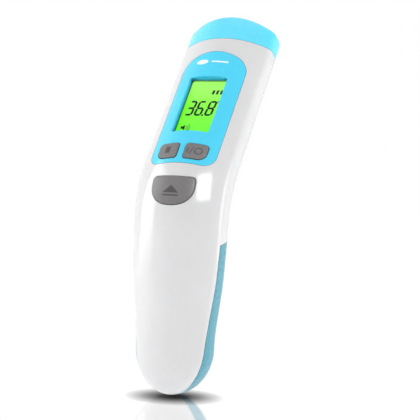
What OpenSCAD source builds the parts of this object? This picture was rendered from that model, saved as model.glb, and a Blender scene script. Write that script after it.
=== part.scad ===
// Infrared ear thermometer: a bent, hand-held wand. The grip stands straight
// up, the head leans back, and a removable cap covers the ear probe.
// Front (display side) faces -Y, the grip runs up +Z, the origin is the middle
// of the small flat foot at the lower end of the grip.
//
// Parts are placed by x, q and s: x runs across, s is the distance along the
// bent centre line from the foot, and q is the height in front of that line.

/* [Body] */
// Length of the body along its bent centre line
body_len = 168.8; // [168.4:0.1:169.2]
// Angle by which the head leans back from the grip
tilt = 34; // [33:0.5:35]
// Height at which the bend begins
bend_start = 71.2; // [71:0.1:71.4]
// Radius of the bend, measured on the centre line
bend_r = 40; // [39:0.5:41]
// Height of the rounded lower end
end_h = 19; // [18.8:0.1:19.2]
// Half width of the body at the bend
bend_half_w = 20.9; // [20.7:0.1:21.1]
// Half width of the nose
nose_half_w = 20.6; // [20.4:0.1:20.8]
// Depth of the head in front of the centre line
head_front = 12; // [12:0.1:12.2]
// Depth of the head behind the centre line
head_back = 12.8; // [12.6:0.1:13]
// Radius of the gently rounded front face
front_r = 30; // [29.5:0.5:30.5]
// Drop of the nose end towards its sides
dome = 2.6; // [2.3:0.1:2.9]

/* [Shells] */
// Wall of the front and rear shells
wall = 2; // [2:0.05:2.1]
// Wall of the battery door
door_wall = 1.5; // [1.3:0.1:1.5]
// Wall of the nose cap
cap_wall = 1.6; // [1.4:0.1:1.7]
// Gap along every parting line
gap = 0.2; // [0.1:0.05:0.3]

/* [Display] */
// Width of the display opening
lcd_w = 17; // [15:0.5:17.2]
// Height of the display opening
lcd_h = 28.8; // [26:0.4:28.8]
// Middle of the display, measured along the body
lcd_s = 120.7; // [120.5:0.1:120.9]
// Height of the display plane above the centre line
lcd_q = 8.55; // [8.5:0.05:8.6]

/* [Buttons] */
// Height by which the buttons stand proud
proud = 0.5; // [0.3:0.1:0.7]

/* [Cap and door] */
// Position of the nose cap's lower edge
cap_s = 155.8; // [155.7:0.1:155.9]
// Distance the cap is shown pulled off
cap_open = 0; // [0:1:25]
// Distance the battery door is shown pulled off
door_open = 0; // [0:1:30]

/* [Hidden] */

shell_white = [0.93, 0.94, 0.95];
key_grey = [0.55, 0.53, 0.53];
plunger_black = [0.2, 0.2, 0.2];
board_green = [0.1, 0.45, 0.25];
ribbon_amber = [0.75, 0.5, 0.15];
contact_metal = [0.8, 0.8, 0.78];
screw_metal = [0.6, 0.6, 0.62];

bend_len = bend_r * tilt * PI / 180;
bend_end = bend_start + bend_len;
bend_mid = bend_start + bend_len / 2;
nose_r = 2.2;       // rounding of the nose's rim
dome_half_w = 18;   // half width over which the nose drops by dome
end_power = 1.85;   // exponent of the lower end's superellipse
side_r = 50;
least_r = 0.4;      // smallest fillet left after an inset

sides = [-1, 1];
past_head = [-40, 40];
past_grip = [-30, 30];
beyond = 20;        // q past the skin, for pins

// Inner lips lie just inside the shell wall
liner_out = wall + 0.1;
liner_in = wall + 0.9;
boss_skin = 1.4;    // depth to which the rear bosses and bulkhead enter the wall
button_gap = 0.2;

// ---- Body skin ----

// Outline values along the body: [s, value]
half_widths = [[19, 17], [48.5, 19.8], [bend_mid, bend_half_w],
    [bend_mid + 35, bend_half_w - 0.25], [body_len, nose_half_w]];
front_depths = [[19, 9.6], [48.5, 11.35], [bend_mid, head_front], [body_len, head_front]];
back_depths = [[19, 7.55], [48.5, 10.15], [bend_mid, head_back], [body_len, head_back - 0.8]];
front_radii = [[19, front_r + 5.5], [76.5, front_r], [168, front_r]];
back_radii = [[19, 32.5], [48.5, 33], [80, 31.7], [168, 30.7]];
front_fillets = [[19, 3.65], [bend_mid - 8, 4.4], [bend_mid + 15, 3.6], [168, 3.6]];
back_fillets = [[19, 4.4], [48.5, 6.2], [80, 8.6], [168, 8.3]];

// Smooth cubic curve through the rows of a table
function secant(table, i, j) = (table[j][1] - table[i][1]) / (table[j][0] - table[i][0]);
function slope(table, i) = let(last = len(table) - 1)
    i == 0 ? 0 : secant(table, i - 1, min(i + 1, last));
function interval(table, s, i = 0) =
    i >= len(table) - 2 || s < table[i + 1][0] ? i : interval(table, s, i + 1);
function value_at(table, s) =
    s <= table[0][0] ? table[0][1] :
    s >= table[len(table) - 1][0] ? table[len(table) - 1][1] :
    let(i = interval(table, s),
        width = table[i + 1][0] - table[i][0],
        t = (s - table[i][0]) / width)
    (2 * t * t * t - 3 * t * t + 1) * table[i][1]
    + (t * t * t - 2 * t * t + t) * width * slope(table, i)
    + (3 * t * t - 2 * t * t * t) * table[i + 1][1]
    + (t * t * t - t * t) * width * slope(table, i + 1);

// Centre line: lean angle, y and z at s, and the world place of (x, q, s)
function lean(s) = s <= bend_start ? 0 :
    s >= bend_end ? tilt : (s - bend_start) / bend_r * 180 / PI;
function mid_y(s) = s <= bend_start ? 0 :
    bend_r * (1 - cos(lean(s))) + max(0, s - bend_end) * sin(tilt);
function mid_z(s) = s <= bend_start ? s :
    bend_start + bend_r * sin(lean(s)) + max(0, s - bend_end) * cos(tilt);
function place(x, q, s) = [x, mid_y(s) - q * cos(lean(s)), mid_z(s) + q * sin(lean(s))];

// Points of an arc; either end point can be left out
function arc(centre, r, from, to, steps, drop_first = 0, drop_last = 0) =
    [for (i = [drop_first:steps - drop_last]) let(angle = from + (to - from) * i / steps)
        [centre[0] + r * cos(angle), centre[1] + r * sin(angle)]];

// Quarter of a cross-section: a broad face arc, a fillet and a flatter side
// arc. The face is given as [depth, radius, fillet radius].
face_steps = 5;
fillet_steps = 3;
side_steps = 3;
half_count = 2 * (face_steps + fillet_steps + side_steps) + 1;
function quarter(width, face, flank_r) = let(
    face_r = face[1],
    fillet_r = face[2],
    face_mid = [0, face[0] - face_r],
    side_mid = [width - flank_r, 0],
    // the fillet's centre is where two circles about these centres cross
    apart = norm(side_mid - face_mid),
    face_reach = face_r - fillet_r,
    side_reach = flank_r - fillet_r,
    foot = (face_reach * face_reach - side_reach * side_reach + apart * apart) / (2 * apart),
    rise = sqrt(max(0, face_reach * face_reach - foot * foot)),
    axis = (side_mid - face_mid) / apart,
    normal = [-axis[1], axis[0]],
    base = face_mid + axis * foot,
    first = base + normal * rise,
    second = base - normal * rise,
    fillet_mid = first[0] + first[1] > second[0] + second[1] ? first : second,
    face_end = atan2(fillet_mid[1] - face_mid[1], fillet_mid[0]),
    side_start = atan2(fillet_mid[1], fillet_mid[0] - side_mid[0]))
    concat(arc(face_mid, face_r, 90, face_end, face_steps, drop_last = 1),
        arc(fillet_mid, fillet_r, face_end, side_start, fillet_steps, drop_last = 1),
        arc(side_mid, flank_r, side_start, 0, side_steps));

function half_section(width, front, back, flank_r) = let(
    fore = quarter(width, front, flank_r),
    aft = quarter(width, back, flank_r),
    last = len(aft) - 1)
    concat([for (i = [0:last]) [i == 0 ? 0 : fore[i][0], fore[i][1]]],
        [for (i = [last - 1:-1:0]) [i == 0 ? 0 : aft[i][0], -aft[i][1]]]);
function inset_face(depth, radius, fillet, inset) =
    [depth - inset, radius - inset, max(fillet - inset, least_r)];

// Half section at s
function section(s, inset) = half_section(value_at(half_widths, s) - inset,
    inset_face(value_at(front_depths, s), value_at(front_radii, s),
        value_at(front_fillets, s), inset),
    inset_face(value_at(back_depths, s), value_at(back_radii, s),
        value_at(back_fillets, s), inset),
    side_r - inset);

// Radius and half section of the rounded lower end, at an angle below the side
function end_reach(angle) = pow(
    pow(abs(cos(angle)) / value_at(half_widths, end_h), end_power)
    + pow(abs(sin(angle)) / (end_h + 0.2), end_power), -1 / end_power);
function end_section(angle, inset) = let(
    across = cos(angle) * cos(angle),
    down = 1 - across,
    s = end_h,
    width = end_reach(angle) - inset,
    front = inset_face(value_at(front_depths, s),
        1 / (across / value_at(front_radii, s) + down / 200),
        value_at(front_fillets, s) * across + 4.6 * down, inset),
    back = inset_face(value_at(back_depths, s),
        1 / (across / value_at(back_radii, s) + down / 100),
        value_at(back_fillets, s) * across + 5.6 * down, inset))
    [for (p = half_section(width, front, back, side_r - inset))
        [p[0], p[1] + 0.7 * down * pow(p[0] / width, 2)]];

// Stations from the nose down to the lower end: [s, inset, scale, arched],
// where arched is 1 for the rows that follow the nose's dome
body_rows = concat([150, 139, 127, 115, 104.5],
    [for (i = [6:-1:0]) bend_start + bend_len * i / 6],
    [64, 55, 46, 36, 27, end_h]);
function nose_stations(inset) = let(
    r = max(nose_r - inset, 0.05),
    rim_s = body_len - max(nose_r, inset + 0.05))
    concat([for (scale = [0.3, 0.6, 0.85]) [rim_s + r, inset + r, scale, 1]],
        [for (angle = [90, 60, 30, 0])
            [rim_s + r * sin(angle), inset + r * (1 - cos(angle)), 1, 1]]);
function stations(inset) =
    concat(nose_stations(inset), [for (s = body_rows) [s, inset, 1, 0]]);
function station_row(station, side) = [for (p = section(station[0], station[1]) * station[2])
    place(side * p[0], p[1], station[0] - station[3] * dome * pow(p[0] / dome_half_w, 2))];

// Rows of the skin: down the +x side, round the lower end, up the -x side
end_steps = 16;
function skin_rows(inset) = let(list = stations(inset), count = len(list))
    concat([for (station = list) station_row(station, 1)],
        [for (j = [1:end_steps - 1]) let(angle = 180 * j / end_steps)
            [for (p = end_section(angle, inset))
                place(p[0] * cos(angle), p[1], end_h - p[0] * sin(angle))]],
        [for (k = [count - 1:-1:0]) station_row(list[k], -1)]);

module loft(inset) {
    rows = skin_rows(inset);
    row_count = len(rows);
    down_count = len(stations(inset));
    last = half_count - 1;
    // rows meet on the middle plane, so their end points share vertices
    function shared_row(k) = k < down_count ? k :
        k < down_count + end_steps - 1 ? down_count - 1 : row_count - 1 - k;
    function vertex(k, i) = (i == 0 || i == last ? shared_row(k) : k) * half_count + i;
    apex = row_count * half_count;
    faces = concat(
        [for (k = [0:row_count - 2], i = [0:last - 1])
            let(a = vertex(k, i), b = vertex(k, i + 1),
                c = vertex(k + 1, i + 1), d = vertex(k + 1, i))
            each [if (a != b && b != c && a != c) [a, b, c],
                if (a != c && c != d && a != d) [a, c, d]]],
        [for (i = [0:last - 1]) [apex, vertex(0, i + 1), vertex(0, i)]],
        [for (i = [0:last - 1])
            [apex, vertex(row_count - 1, i), vertex(row_count - 1, i + 1)]]);
    polyhedron(points = [for (points = rows) each points, place(0, 0, stations(inset)[0][0])],
        faces = faces, convexity = 6);
}

// Solid body moved inwards by inset, standing on its flat foot
module body(inset) {
    intersection() {
        loft(inset);
        translate([-40, -60, max(inset, 0)]) cube([80, 160, 240]);
    }
}

// Layer of the body between two insets
module skin_slab(outer, inner) {
    difference() {
        body(outer);
        body(inner);
    }
}

// Keeps a smooth shell as one closed solid
module as_shell() resize([0, 0, 0]) children();

// ---- Frames and shapes ----

// Frame of the centre line at s, in which x, y = -q and z = s
module frame_at(s) translate([0, mid_y(s), mid_z(s)]) rotate([-lean(s), 0, 0])
    translate([0, 0, -s]) children();
module head() frame_at(bend_end) children();
// Takes a shape from the world back to the head's own frame
module into_head() translate([0, 0, bend_end]) rotate([tilt, 0, 0])
    translate([0, -mid_y(bend_end), -mid_z(bend_end)]) children();

function around(centre, half) = [centre - half, centre + half];

// Prism of a flat (x, s) outline over a q range
module raise(q) translate([0, -q[0], 0]) rotate([90, 0, 0])
    linear_extrude(height = q[1] - q[0]) children();
// Prism out through the front skin
module front_prism(q = 2) raise([q, 30]) children();
// Prism of a flat (y, z) outline, centred on x = 0
module side_prism(width) rotate([90, 0, 90])
    linear_extrude(height = width, center = true) children();
// Box, pin along q and pin along s, each over [low, high] ranges
module box(x, q, s) translate([x[0], -q[1], s[0]]) cube([x[1] - x[0], q[1] - q[0], s[1] - s[0]]);
module pin_q(r, q, x = 0, s = 0) translate([x, -q[0], s]) rotate([90, 0, 0])
    cylinder(r = r, h = q[1] - q[0], $fn = 32);
module pin_s(r, s, x = 0, q = probe_q) translate([x, -q, s[0]])
    cylinder(r = r, h = s[1] - s[0], $fn = 40);

// Closed tube through a list of rings
module tube(rings) {
    sides_n = len(rings[0]);
    count = len(rings);
    polyhedron(points = [for (ring = rings) each ring], faces = concat(
        [for (j = [0:count - 2], i = [0:sides_n - 1])
            let(a = j * sides_n, b = (j + 1) * sides_n, next = (i + 1) % sides_n)
            each [[a + i, b + i, b + next], [a + i, b + next, a + next]]],
        [[for (i = [0:sides_n - 1]) i]],
        [[for (i = [sides_n - 1:-1:0]) (count - 1) * sides_n + i]]), convexity = 8);
}

// Flat outlines in x and s
function corner(x, s, r, from) = arc([x, s], r, from, from + 90, 5);
// Radii run from the low x, low s corner, anticlockwise
function rounded(x, s, radii) = concat(
    corner(x[0] + radii[0], s[0] + radii[0], radii[0], 180),
    corner(x[1] - radii[1], s[0] + radii[1], radii[1], 270),
    corner(x[1] - radii[2], s[1] - radii[2], radii[2], 0),
    corner(x[0] + radii[3], s[1] - radii[3], radii[3], 90));
// Rounded outline with an arched upper edge
function arched(width, s, low_r, high_r, arch_r) = let(
    turn = asin((width - high_r) / (arch_r - high_r)),
    high_s = s[1] - arch_r + (arch_r - high_r) * cos(turn))
    concat(corner(-width + low_r, s[0] + low_r, low_r, 180),
        corner(width - low_r, s[0] + low_r, low_r, 270),
        arc([width - high_r, high_s], high_r, 0, 90 - turn, 6),
        arc([0, s[1] - arch_r], arch_r, 90 - turn, 90 + turn, 8, 1, 1),
        arc([-width + high_r, high_s], high_r, 90 + turn, 180, 6));

module fascia_outline(grow = 0) offset(delta = grow)
    polygon(arched(width = 15.1, s = [89.6, 148.7], low_r = 5.4, high_r = 8.6, arch_r = 24));
module lcd_outline(grow = 0) offset(delta = grow)
    polygon(rounded(around(0, lcd_w / 2), around(lcd_s, lcd_h / 2), [0.6, 0.6, 0.6, 0.6]));
module key_outline(side, grow = 0) mirror([side < 0 ? 1 : 0, 0, 0]) offset(delta = grow)
    polygon(rounded([1.6, 11.15], [92, 99.3], [1.1, 3.4, 1.3, 1.1]));

// Scan button: half a superellipse below, rounded corners above
scan_s = 81.5;
scan_half_w = 9.8;
scan_drop = 8.2;
scan_corner_r = 1.8;
scan_power = 2 / 2.25;
module scan_outline(grow = 0) offset(delta = grow) polygon(concat(
    [for (i = [0:16]) let(angle = 180 * i / 16)
        [-scan_half_w * sign(cos(angle)) * pow(abs(cos(angle)), scan_power),
            83.5 - scan_drop * pow(abs(sin(angle)), scan_power)]],
    corner(scan_half_w - scan_corner_r, 85.5, scan_corner_r, 0),
    corner(scan_corner_r - scan_half_w, 85.5, scan_corner_r, 90)));

// ---- Parting lines ----

// Line between the front shell and the door: [q, s]
part_line = [[0.5, -2], [1.4, -0.6], [2.6, 0.6], [4.2, 2.2], [5.3, 4], [5.9, 6.5],
    [6, 9.5], [5.9, 13], [5.6, 19], [5.1, 27], [4.8, 36], [4.3, 46], [3.8, 56], [3.5, 62.2]];
// Line between the front and rear shells
seam_q = -2;
upper_line = concat(
    [for (i = [0:6]) [seam_q, bend_start - 1 + (bend_len + 2) * (i + 0.4) / 6.9]],
    [[seam_q, cap_s]]);
// Ends of the door's slanted upper edge
door_top = [seam_q, 63.8];
door_far = [-22, 70.8];
// Inner lip: its q range, and the stations that follow the bend
lip_low = -4;
lip_high = -0.6;
lip_end = cap_s - 2.6;
lip_bend = [for (i = [0:8]) bend_start + bend_len * i / 8 + 0.3];

// [y, z] of each [q, s] point
function side_line(points) =
    [for (p = points) let(spot = place(0, p[0], p[1])) [spot[1], spot[2]]];
module zone(points) side_prism(90) offset(delta = -gap / 2) polygon(points);
module front_zone() zone(concat(
    side_line(concat(part_line, [door_top], upper_line, [[45, cap_s]])),
    [[-70, 170], [-70, -8]]));
module rear_zone() zone(concat(
    side_line(concat([door_top], upper_line, [[-45, cap_s]])),
    [[70, 87.6]], side_line([door_far])));
module door_zone() zone(concat(
    side_line(concat(part_line, [door_top, door_far])), [[60, 84.1], [60, -8]]));
module lip_zone() zone(side_line(concat(
    [[lip_high, 64.3]], [for (s = lip_bend) [lip_high, s]],
    [[lip_high, lip_end], [lip_low, lip_end]],
    [for (i = [8:-1:0]) [lip_low, lip_bend[i]]], [[lip_low, 69.2]])));

// ---- Shells ----

// Posts that carry the main board, in the head's frame: [x, s]
posts = [[12.6, 102.5], [-12.6, 102.5], [0, 141.5]];
module at_posts() for (p = posts) translate([p[0], 0, p[1]]) children();
// Pairs of housing screw bosses: [frame, x, s]
bosses = [[bend_end, 12.5, 149.6], [79, 13.2, 79]];
module at_bosses() for (boss = bosses) frame_at(boss[0])
    for (side = sides) translate([side * boss[1], 0, boss[2]]) children();

mount_q = 1.65;     // level of the posts and of the parts in front of the board

module front_shell() color(shell_white) as_shell() difference() {
    intersection() {
        front_zone();
        union() {
            skin_slab(0, wall);
            intersection() {
                body(1);
                union() {
                    head() at_posts() pin_q(1.7, [mount_q, beyond]);
                    at_bosses() pin_q(2.6, [-1.6, beyond]);
                }
            }
        }
    }
    // recess for the fascia
    intersection() {
        skin_slab(-1, 1.2);
        head() front_prism() fascia_outline();
    }
    // display and key openings, and screw holes
    head() {
        front_prism(lcd_q - 3) lcd_outline(0.95);
        for (side = sides) front_prism() key_outline(side, button_gap);
        at_posts() pin_q(0.9, [1, 6.2]);
    }
    at_bosses() pin_q(1.15, [-2, 5.5]);
    frame_at(scan_s) front_prism() scan_outline(button_gap);
}

// Bulkhead above the slanted end of the door: [y, z]
bulkhead = [[-3, 62.5], [22, 71.2], [22, 72.9], [-3, 64.2]];
// Battery tray's end walls: [lowest q, s range]
tray_ends = [[-4.4, [7.3, 8.4]], [-4.8, [59.4, 60.4]]];
tab_x = 9;          // middle of each contact's tab and lead

module rear_shell() color(shell_white) as_shell() difference() {
    union() {
        intersection() {
            rear_zone();
            union() {
                skin_slab(0, wall);
                intersection() {
                    body(boss_skin);
                    at_bosses() pin_q(3.2, [-beyond, -1.8]);
                }
            }
        }
        // bulkhead that closes the battery bay
        intersection() {
            side_prism(60) polygon(bulkhead);
            union() {
                body(liner_out);
                intersection() {
                    body(boss_skin);
                    rear_zone();
                }
            }
        }
        // inner lip that laps the parting line of the head
        intersection() {
            lip_zone();
            union() {
                skin_slab(liner_out, liner_in);
                intersection() {
                    skin_slab(wall - 0.4, liner_in);
                    rear_zone();
                }
            }
        }
        // battery tray inside the grip
        intersection() {
            skin_slab(liner_out, liner_in);
            box(past_grip, [-2, 30], [7.4, 65]);
        }
        intersection() {
            body(liner_out);
            union() for (end = tray_ends) box(past_grip, [end[0], 30], end[1]);
        }
    }
    // screw holes and their wider recesses
    at_bosses() {
        pin_q(1.35, [-beyond, 0]);
        pin_q(2.3, [-beyond, -5.1]);
    }
    // slots for the contact tabs
    for (side = sides) box(around(tab_x * side, 1.2), [3.6, 4.8], [58, 61]);
}

// Outline just outside the battery tray
tray_inset = wall - 0.1;
tray_outline = concat(
    [for (s = [74:-6:20]) [value_at(half_widths, s) - tray_inset, s]],
    [for (angle = [0:12:180]) let(r = end_reach(angle) - tray_inset)
        [r * cos(angle), end_h - r * sin(angle)]],
    [for (s = [20:6:74]) [tray_inset - value_at(half_widths, s), s]]);

module battery_door() color([0.42, 0.72, 0.82]) as_shell() translate([0, door_open, 0]) union() {
    difference() {
        intersection() {
            door_zone();
            skin_slab(0, door_wall);
        }
        // the skirts' edges open just wide enough to pass over the tray
        raise([-3, 12]) polygon(tray_outline);
    }
    // finger ridges, each shorter than the one below
    intersection() {
        skin_slab(-0.35, 0.5);
        for (i = [0:4]) box(around(0, 6.5 - 0.5 * i), [-30, -4], [50.4 + 2 * i, 51.2 + 2 * i]);
    }
}

// Nose cap with a flared hole for the probe
probe_q = -0.5;
module head_cap() color([0.36, 0.82, 0.95]) as_shell() head()
    translate([0, 0, cap_open]) difference() {
        intersection() {
            into_head() skin_slab(0, cap_wall);
            box(past_head, past_head, [cap_s + gap / 2, body_len + 5]);
        }
        translate([0, -probe_q, body_len - 4]) cylinder(r1 = 4.6, r2 = 5.9, h = 5, $fn = 48);
    }

// Coloured plate round the display and keys
module fascia() color([0.37, 0.84, 0.97]) as_shell() difference() {
    union() {
        intersection() {
            skin_slab(0, 1.15);
            head() front_prism() fascia_outline(-gap / 2);
        }
        // skirt round the display well
        intersection() {
            body(0.5);
            head() front_prism(lcd_q) lcd_outline(0.8);
        }
    }
    head() {
        front_prism() lcd_outline();
        for (side = sides) front_prism() key_outline(side, button_gap);
    }
}

// ---- Display ----

window_half_w = 9;
window_half_h = 14.9;

// Box centred on the display
module lcd_box(half_w, q, half_h) box(around(0, half_w), q, around(lcd_s, half_h));

module display_window() color([0.85, 0.95, 0.9, 0.4]) head()
    lcd_box(window_half_w, [lcd_q - 0.65, lcd_q - 0.05], window_half_h);
module lcd_gasket() color([0.15, 0.15, 0.16]) head()
    raise([lcd_q - 0.9, lcd_q - 0.7]) difference() {
        translate([-window_half_w, lcd_s - window_half_h])
            square([2 * window_half_w, 2 * window_half_h]);
        lcd_outline(0.3);
    }
module lcd_panel() color([0.5, 1, 0.15]) head()
    lcd_box(9.8, [lcd_q - 2.75, lcd_q - 0.95], 15.4);
module lcd_backlight() color([0.92, 1, 0.85]) head()
    lcd_box(9.5, [3.3, lcd_q - 2.85], 13.5);
module lcd_frame() color([0.88, 0.88, 0.86]) head() difference() {
    lcd_box(10.9, [mount_q, lcd_q - 1.1], 16.2);
    lcd_box(9.9, [1, 9], 15.5);
}
// Strips between board and panel, at both ends of the backlight
module lcd_strips() color([0.3, 0.3, 0.32]) head() for (end = sides)
    box(around(0, 9.4), [mount_q, lcd_q - 2.8], around(lcd_s + 14.7 * end, 0.65));

// ---- Buttons ----

key_x = 6.3;
key_s = 96;
stem_r = 1.7;
stem_q = [6.42, beyond];

// Children: the outline prisms of the key and its flange, then its stem
module button() {
    intersection() {
        skin_slab(-proud, wall + 1);
        children(0);
    }
    intersection() {
        skin_slab(wall + 0.15, wall + 1);
        children(1);
    }
    intersection() {
        body(wall + 0.5);
        children(2);
    }
}
module key(side) color(key_grey) as_shell() button() {
    head() front_prism() key_outline(side);
    head() front_prism() key_outline(side, 0.6);
    head() pin_q(stem_r, stem_q, key_x * side, key_s);
}
module mode_button() key(-1);
module power_button() key(1);
module scan_button() color([0.5, 0.49, 0.49]) as_shell() button() {
    frame_at(scan_s) front_prism() scan_outline();
    frame_at(scan_s) front_prism() scan_outline(0.5);
    frame_at(scan_s) pin_q(stem_r, stem_q, 0, scan_s);
}

// Plungers between the stems and the switches
module plunger(x, s) color(plunger_black) pin_q(1.65, [3.9, 6.4], x, s);
module mode_plunger() head() plunger(-key_x, key_s);
module power_plunger() head() plunger(key_x, key_s);
module scan_plunger() frame_at(scan_s) plunger(0, scan_s);

// Square switches, each with a round well for its plunger
module tact(x, s) difference() {
    box(around(x, 3), [mount_q, 5.15], around(s, 3));
    pin_q(1.85, [3.1, 6], x, s);
}
module tact_switches() color([0.25, 0.25, 0.27]) {
    head() for (side = sides) tact(key_x * side, key_s);
    frame_at(scan_s) tact(0, scan_s);
}

// ---- Boards ----

board_q = [0, 1.6];
under_q = -0.03;    // top of the parts behind the board

module main_board() color(board_green) head() difference() {
    box(around(0, 14.4), board_q, [89, 146.5]);
    at_posts() pin_q(1, [-1, 3]);
}

// Chips behind the main board: [x range, lowest q, s range]
chips = [
    [[-5, 5], -1.3, [112, 122]],
    [[-11.5, -7], -1.2, [126, 131]],
    [[7, 12], -1.1, [127, 130.5]],
    [[-11.5, -7.5], -1.4, [108, 109.8]]];
module board_chips() color([0.14, 0.14, 0.15]) head() {
    for (chip = chips) box(chip[0], [chip[1], under_q], chip[2]);
    pin_q(2, [-5, under_q], 9, 108);
    for (i = [0:3]) box([-12 + 2 * i, -11 + 2 * i], [-0.7, under_q], [96, 98]);
}
module key_board() color(board_green) frame_at(scan_s) box([-8, 8], [0.4, 1.6], [75.5, 87.5]);

// Flat ribbon through points given as [frame, q, s]
ribbon_w = 5;
ribbon_t = 0.24;
function in_frame(frame, q, s) = let(angle = lean(frame))
    [mid_y(frame) + (s - frame) * sin(angle) - q * cos(angle),
        mid_z(frame) + (s - frame) * cos(angle) + q * sin(angle)];
module ribbon(path) {
    points = [for (p = path) in_frame(p[0], p[1], p[2])];
    color(ribbon_amber) as_shell() side_prism(ribbon_w) for (i = [0:len(points) - 2])
        hull() for (p = [points[i], points[i + 1]]) translate(p) circle(d = ribbon_t, $fn = 12);
}
module board_link() ribbon([[scan_s, 0.2, 81], [scan_s, 0.15, 88],
    [bend_end, -0.25, 89.4], [bend_end, -0.2, 93]]);

module buzzer() color([0.72, 0.58, 0.25]) head() difference() {
    pin_q(6, [-4.2, under_q], 0, 132.5);
    pin_q(1, [-6, -2.4], 0, 132.5);
}

// ---- Nose and sensor ----

// Deck under the cap, with a rim that the cap slides over
module nose_deck() color([0.85, 0.87, 0.88]) as_shell() difference() {
    union() {
        intersection() {
            skin_slab(cap_wall + 0.25, cap_wall + 1.4);
            head() box(past_head, past_head, [cap_s + 0.1, cap_s + 4.3]);
        }
        intersection() {
            body(liner_out);
            head() box(past_head, past_head, [cap_s - 2.3, cap_s + 0.6]);
        }
    }
    head() pin_s(7.1, around(cap_s, 5));
}

// Parts turned on the probe's axis: [radius, s]
probe_profile = [[3.75, 152.3], [8.6, 152.3], [8.6, 153.5], [7, 153.5], [7, 157],
    [6.5, 157.6], [6.1, 159], [4.5, 164.2], [4.15, 164.9], [3.7, 165.2], [3.1, 165.2],
    [3.1, 164.5], [3.75, 164.5]];
seal_profile = [[7.1, 156.55], [8.3, 156.55], [8.3, 157], [7.9, 157.4], [7.1, 157.4]];
sleeve_profile = [[2.95, 153], [3.68, 153], [3.68, 163.7], [2.95, 163.7]];
can_profile = [[0, 159.4], [2.88, 159.4], [2.88, 159.8], [2.7, 159.8], [2.7, 163],
    [2.5, 163.2], [0, 163.2]];
module turned(profile) head() translate([0, -probe_q, 0])
    rotate_extrude($fn = 64) polygon(profile);

module ear_probe() color([0.9, 0.92, 0.93]) turned(probe_profile);
module probe_seal() color([0.3, 0.32, 0.34]) turned(seal_profile);
module probe_window() color([0.8, 0.9, 0.95, 0.5]) head() pin_s(3.7, [164.15, 164.46]);
module sensor_sleeve() color([0.8, 0.65, 0.3]) turned(sleeve_profile);
module sensor_can() color([0.78, 0.78, 0.8]) turned(can_profile);
module sensor_window() color([0.2, 0.2, 0.3]) head() pin_s(1.25, [163.22, 163.5]);

// Four leads on a circle, from the can down to the sensor board
lead_circle_r = 1.3;
module sensor_leads() color([0.85, 0.75, 0.4]) head() for (angle = [45:90:315])
    pin_s(0.22, [150.43, 159.38],
        lead_circle_r * cos(angle), probe_q + lead_circle_r * sin(angle));
module sensor_board() color([0.1, 0.4, 0.3]) head() pin_s(6.2, [149.4, 150.4]);
module sensor_flex() ribbon([[bend_end, 1.85, 143.8], [bend_end, 1.85, 147.2],
    [bend_end, 0.8, 148.8], [bend_end, -3, 149.22]]);

// ---- Batteries and contacts ----

cell_x = 5.6;
cell_q = 0.3;
plate_s = [58.95, 59.35];

// Cell with its nub, standing up from s or hanging down from it
module cell(x, s, hanging) translate([x, -cell_q, s]) mirror([0, 0, hanging]) union() {
    cylinder(r = 5.2, h = 43.2, $fn = 48);
    cylinder(r = 1.9, h = 44.3, $fn = 32);
}
module batteries() color([0.25, 0.3, 0.35]) {
    cell(-cell_x, 13.55, 0);
    cell(cell_x, 54.3, 1);
}

module contact_cone(x, s, low_r, high_r, height) translate([x, -cell_q, s])
    cylinder(r1 = low_r, r2 = high_r, h = height, $fn = 32);
// Upper contact plate with its tab
module contact_plate(side) {
    box(around(side * cell_x, 4.4), [-3.4, 4.4], plate_s);
    box(around(side * tab_x, 0.8), [4, 4.4], [59, 62]);
}
module contact_bridge() color(contact_metal) union() {
    box([-9.2, 9.2], [-3.4, 3.6], [8.45, 8.85]);
    contact_cone(cell_x, 8.7, low_r = 3, high_r = 1.8, height = 1.2);
}
module contact_positive() color(contact_metal) union() {
    contact_plate(-1);
    contact_cone(-cell_x, 57.95, low_r = 1.8, high_r = 3, height = 1.1);
}
module contact_negative() color(contact_metal) union() contact_plate(1);

// Conical spring over ranges of s and radius
spring_turns = 4;
spring_steps = spring_turns * 14;
wire_r = 0.35;
module coil(x, s, radii) tube([for (j = [0:spring_steps])
    let(part = j / spring_steps,
        angle = 360 * spring_turns * part,
        z = s[0] + wire_r + (s[1] - s[0] - 2 * wire_r) * part,
        r = radii[0] + (radii[1] - radii[0]) * part)
    [for (turn = [0:60:300]) let(reach = r + wire_r * cos(turn))
        [x + reach * cos(angle), -cell_q + reach * sin(angle), z + wire_r * sin(turn)]]]);
module contact_springs() color(contact_metal) {
    coil(-cell_x, [8.88, 13.5], [4, 2.6]);
    coil(cell_x, [54.34, 58.92], [2.6, 4]);
}

// Leads from the contact tabs up to the main board: [q, s]
lead_path = [[4.9, 60.9], [4.9, 66], [4.2, 71], [3.7, 76], [3.4, 81], [3.2, 85],
    [3, 89], [2.5, 92]];
lead_r = 0.45;
module lead(x) tube([for (p = lead_path) [for (turn = [0:45:315])
    place(x + lead_r * cos(turn), p[0] + lead_r * sin(turn), p[1])]]);
module lead_positive() color([0.8, 0.1, 0.1]) lead(-tab_x);
module lead_negative() color([0.1, 0.1, 0.1]) lead(tab_x);

// ---- Screws ----

// Screw over a q range, with a cross-slotted head behind it
module screw(r, q, head_r, head_h) difference() {
    union() {
        pin_q(r, q);
        pin_q(head_r, [q[0] - head_h, q[0]]);
    }
    translate([0, -q[0] + head_h + 0.1, 0]) for (turn = [0, 90]) rotate([0, turn, 0])
        translate([-head_r * 0.6, -0.7, -0.22]) cube([head_r * 1.2, 0.8, 0.44]);
}
module housing_screws() color(screw_metal) at_bosses()
    screw(r = 1.1, q = [-5.13, 4.5], head_r = 2.1, head_h = 1.5);
module board_screws() color(screw_metal) head() at_posts()
    screw(r = 0.85, q = [under_q, 5.4], head_r = 1.6, head_h = 1.1);

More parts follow.
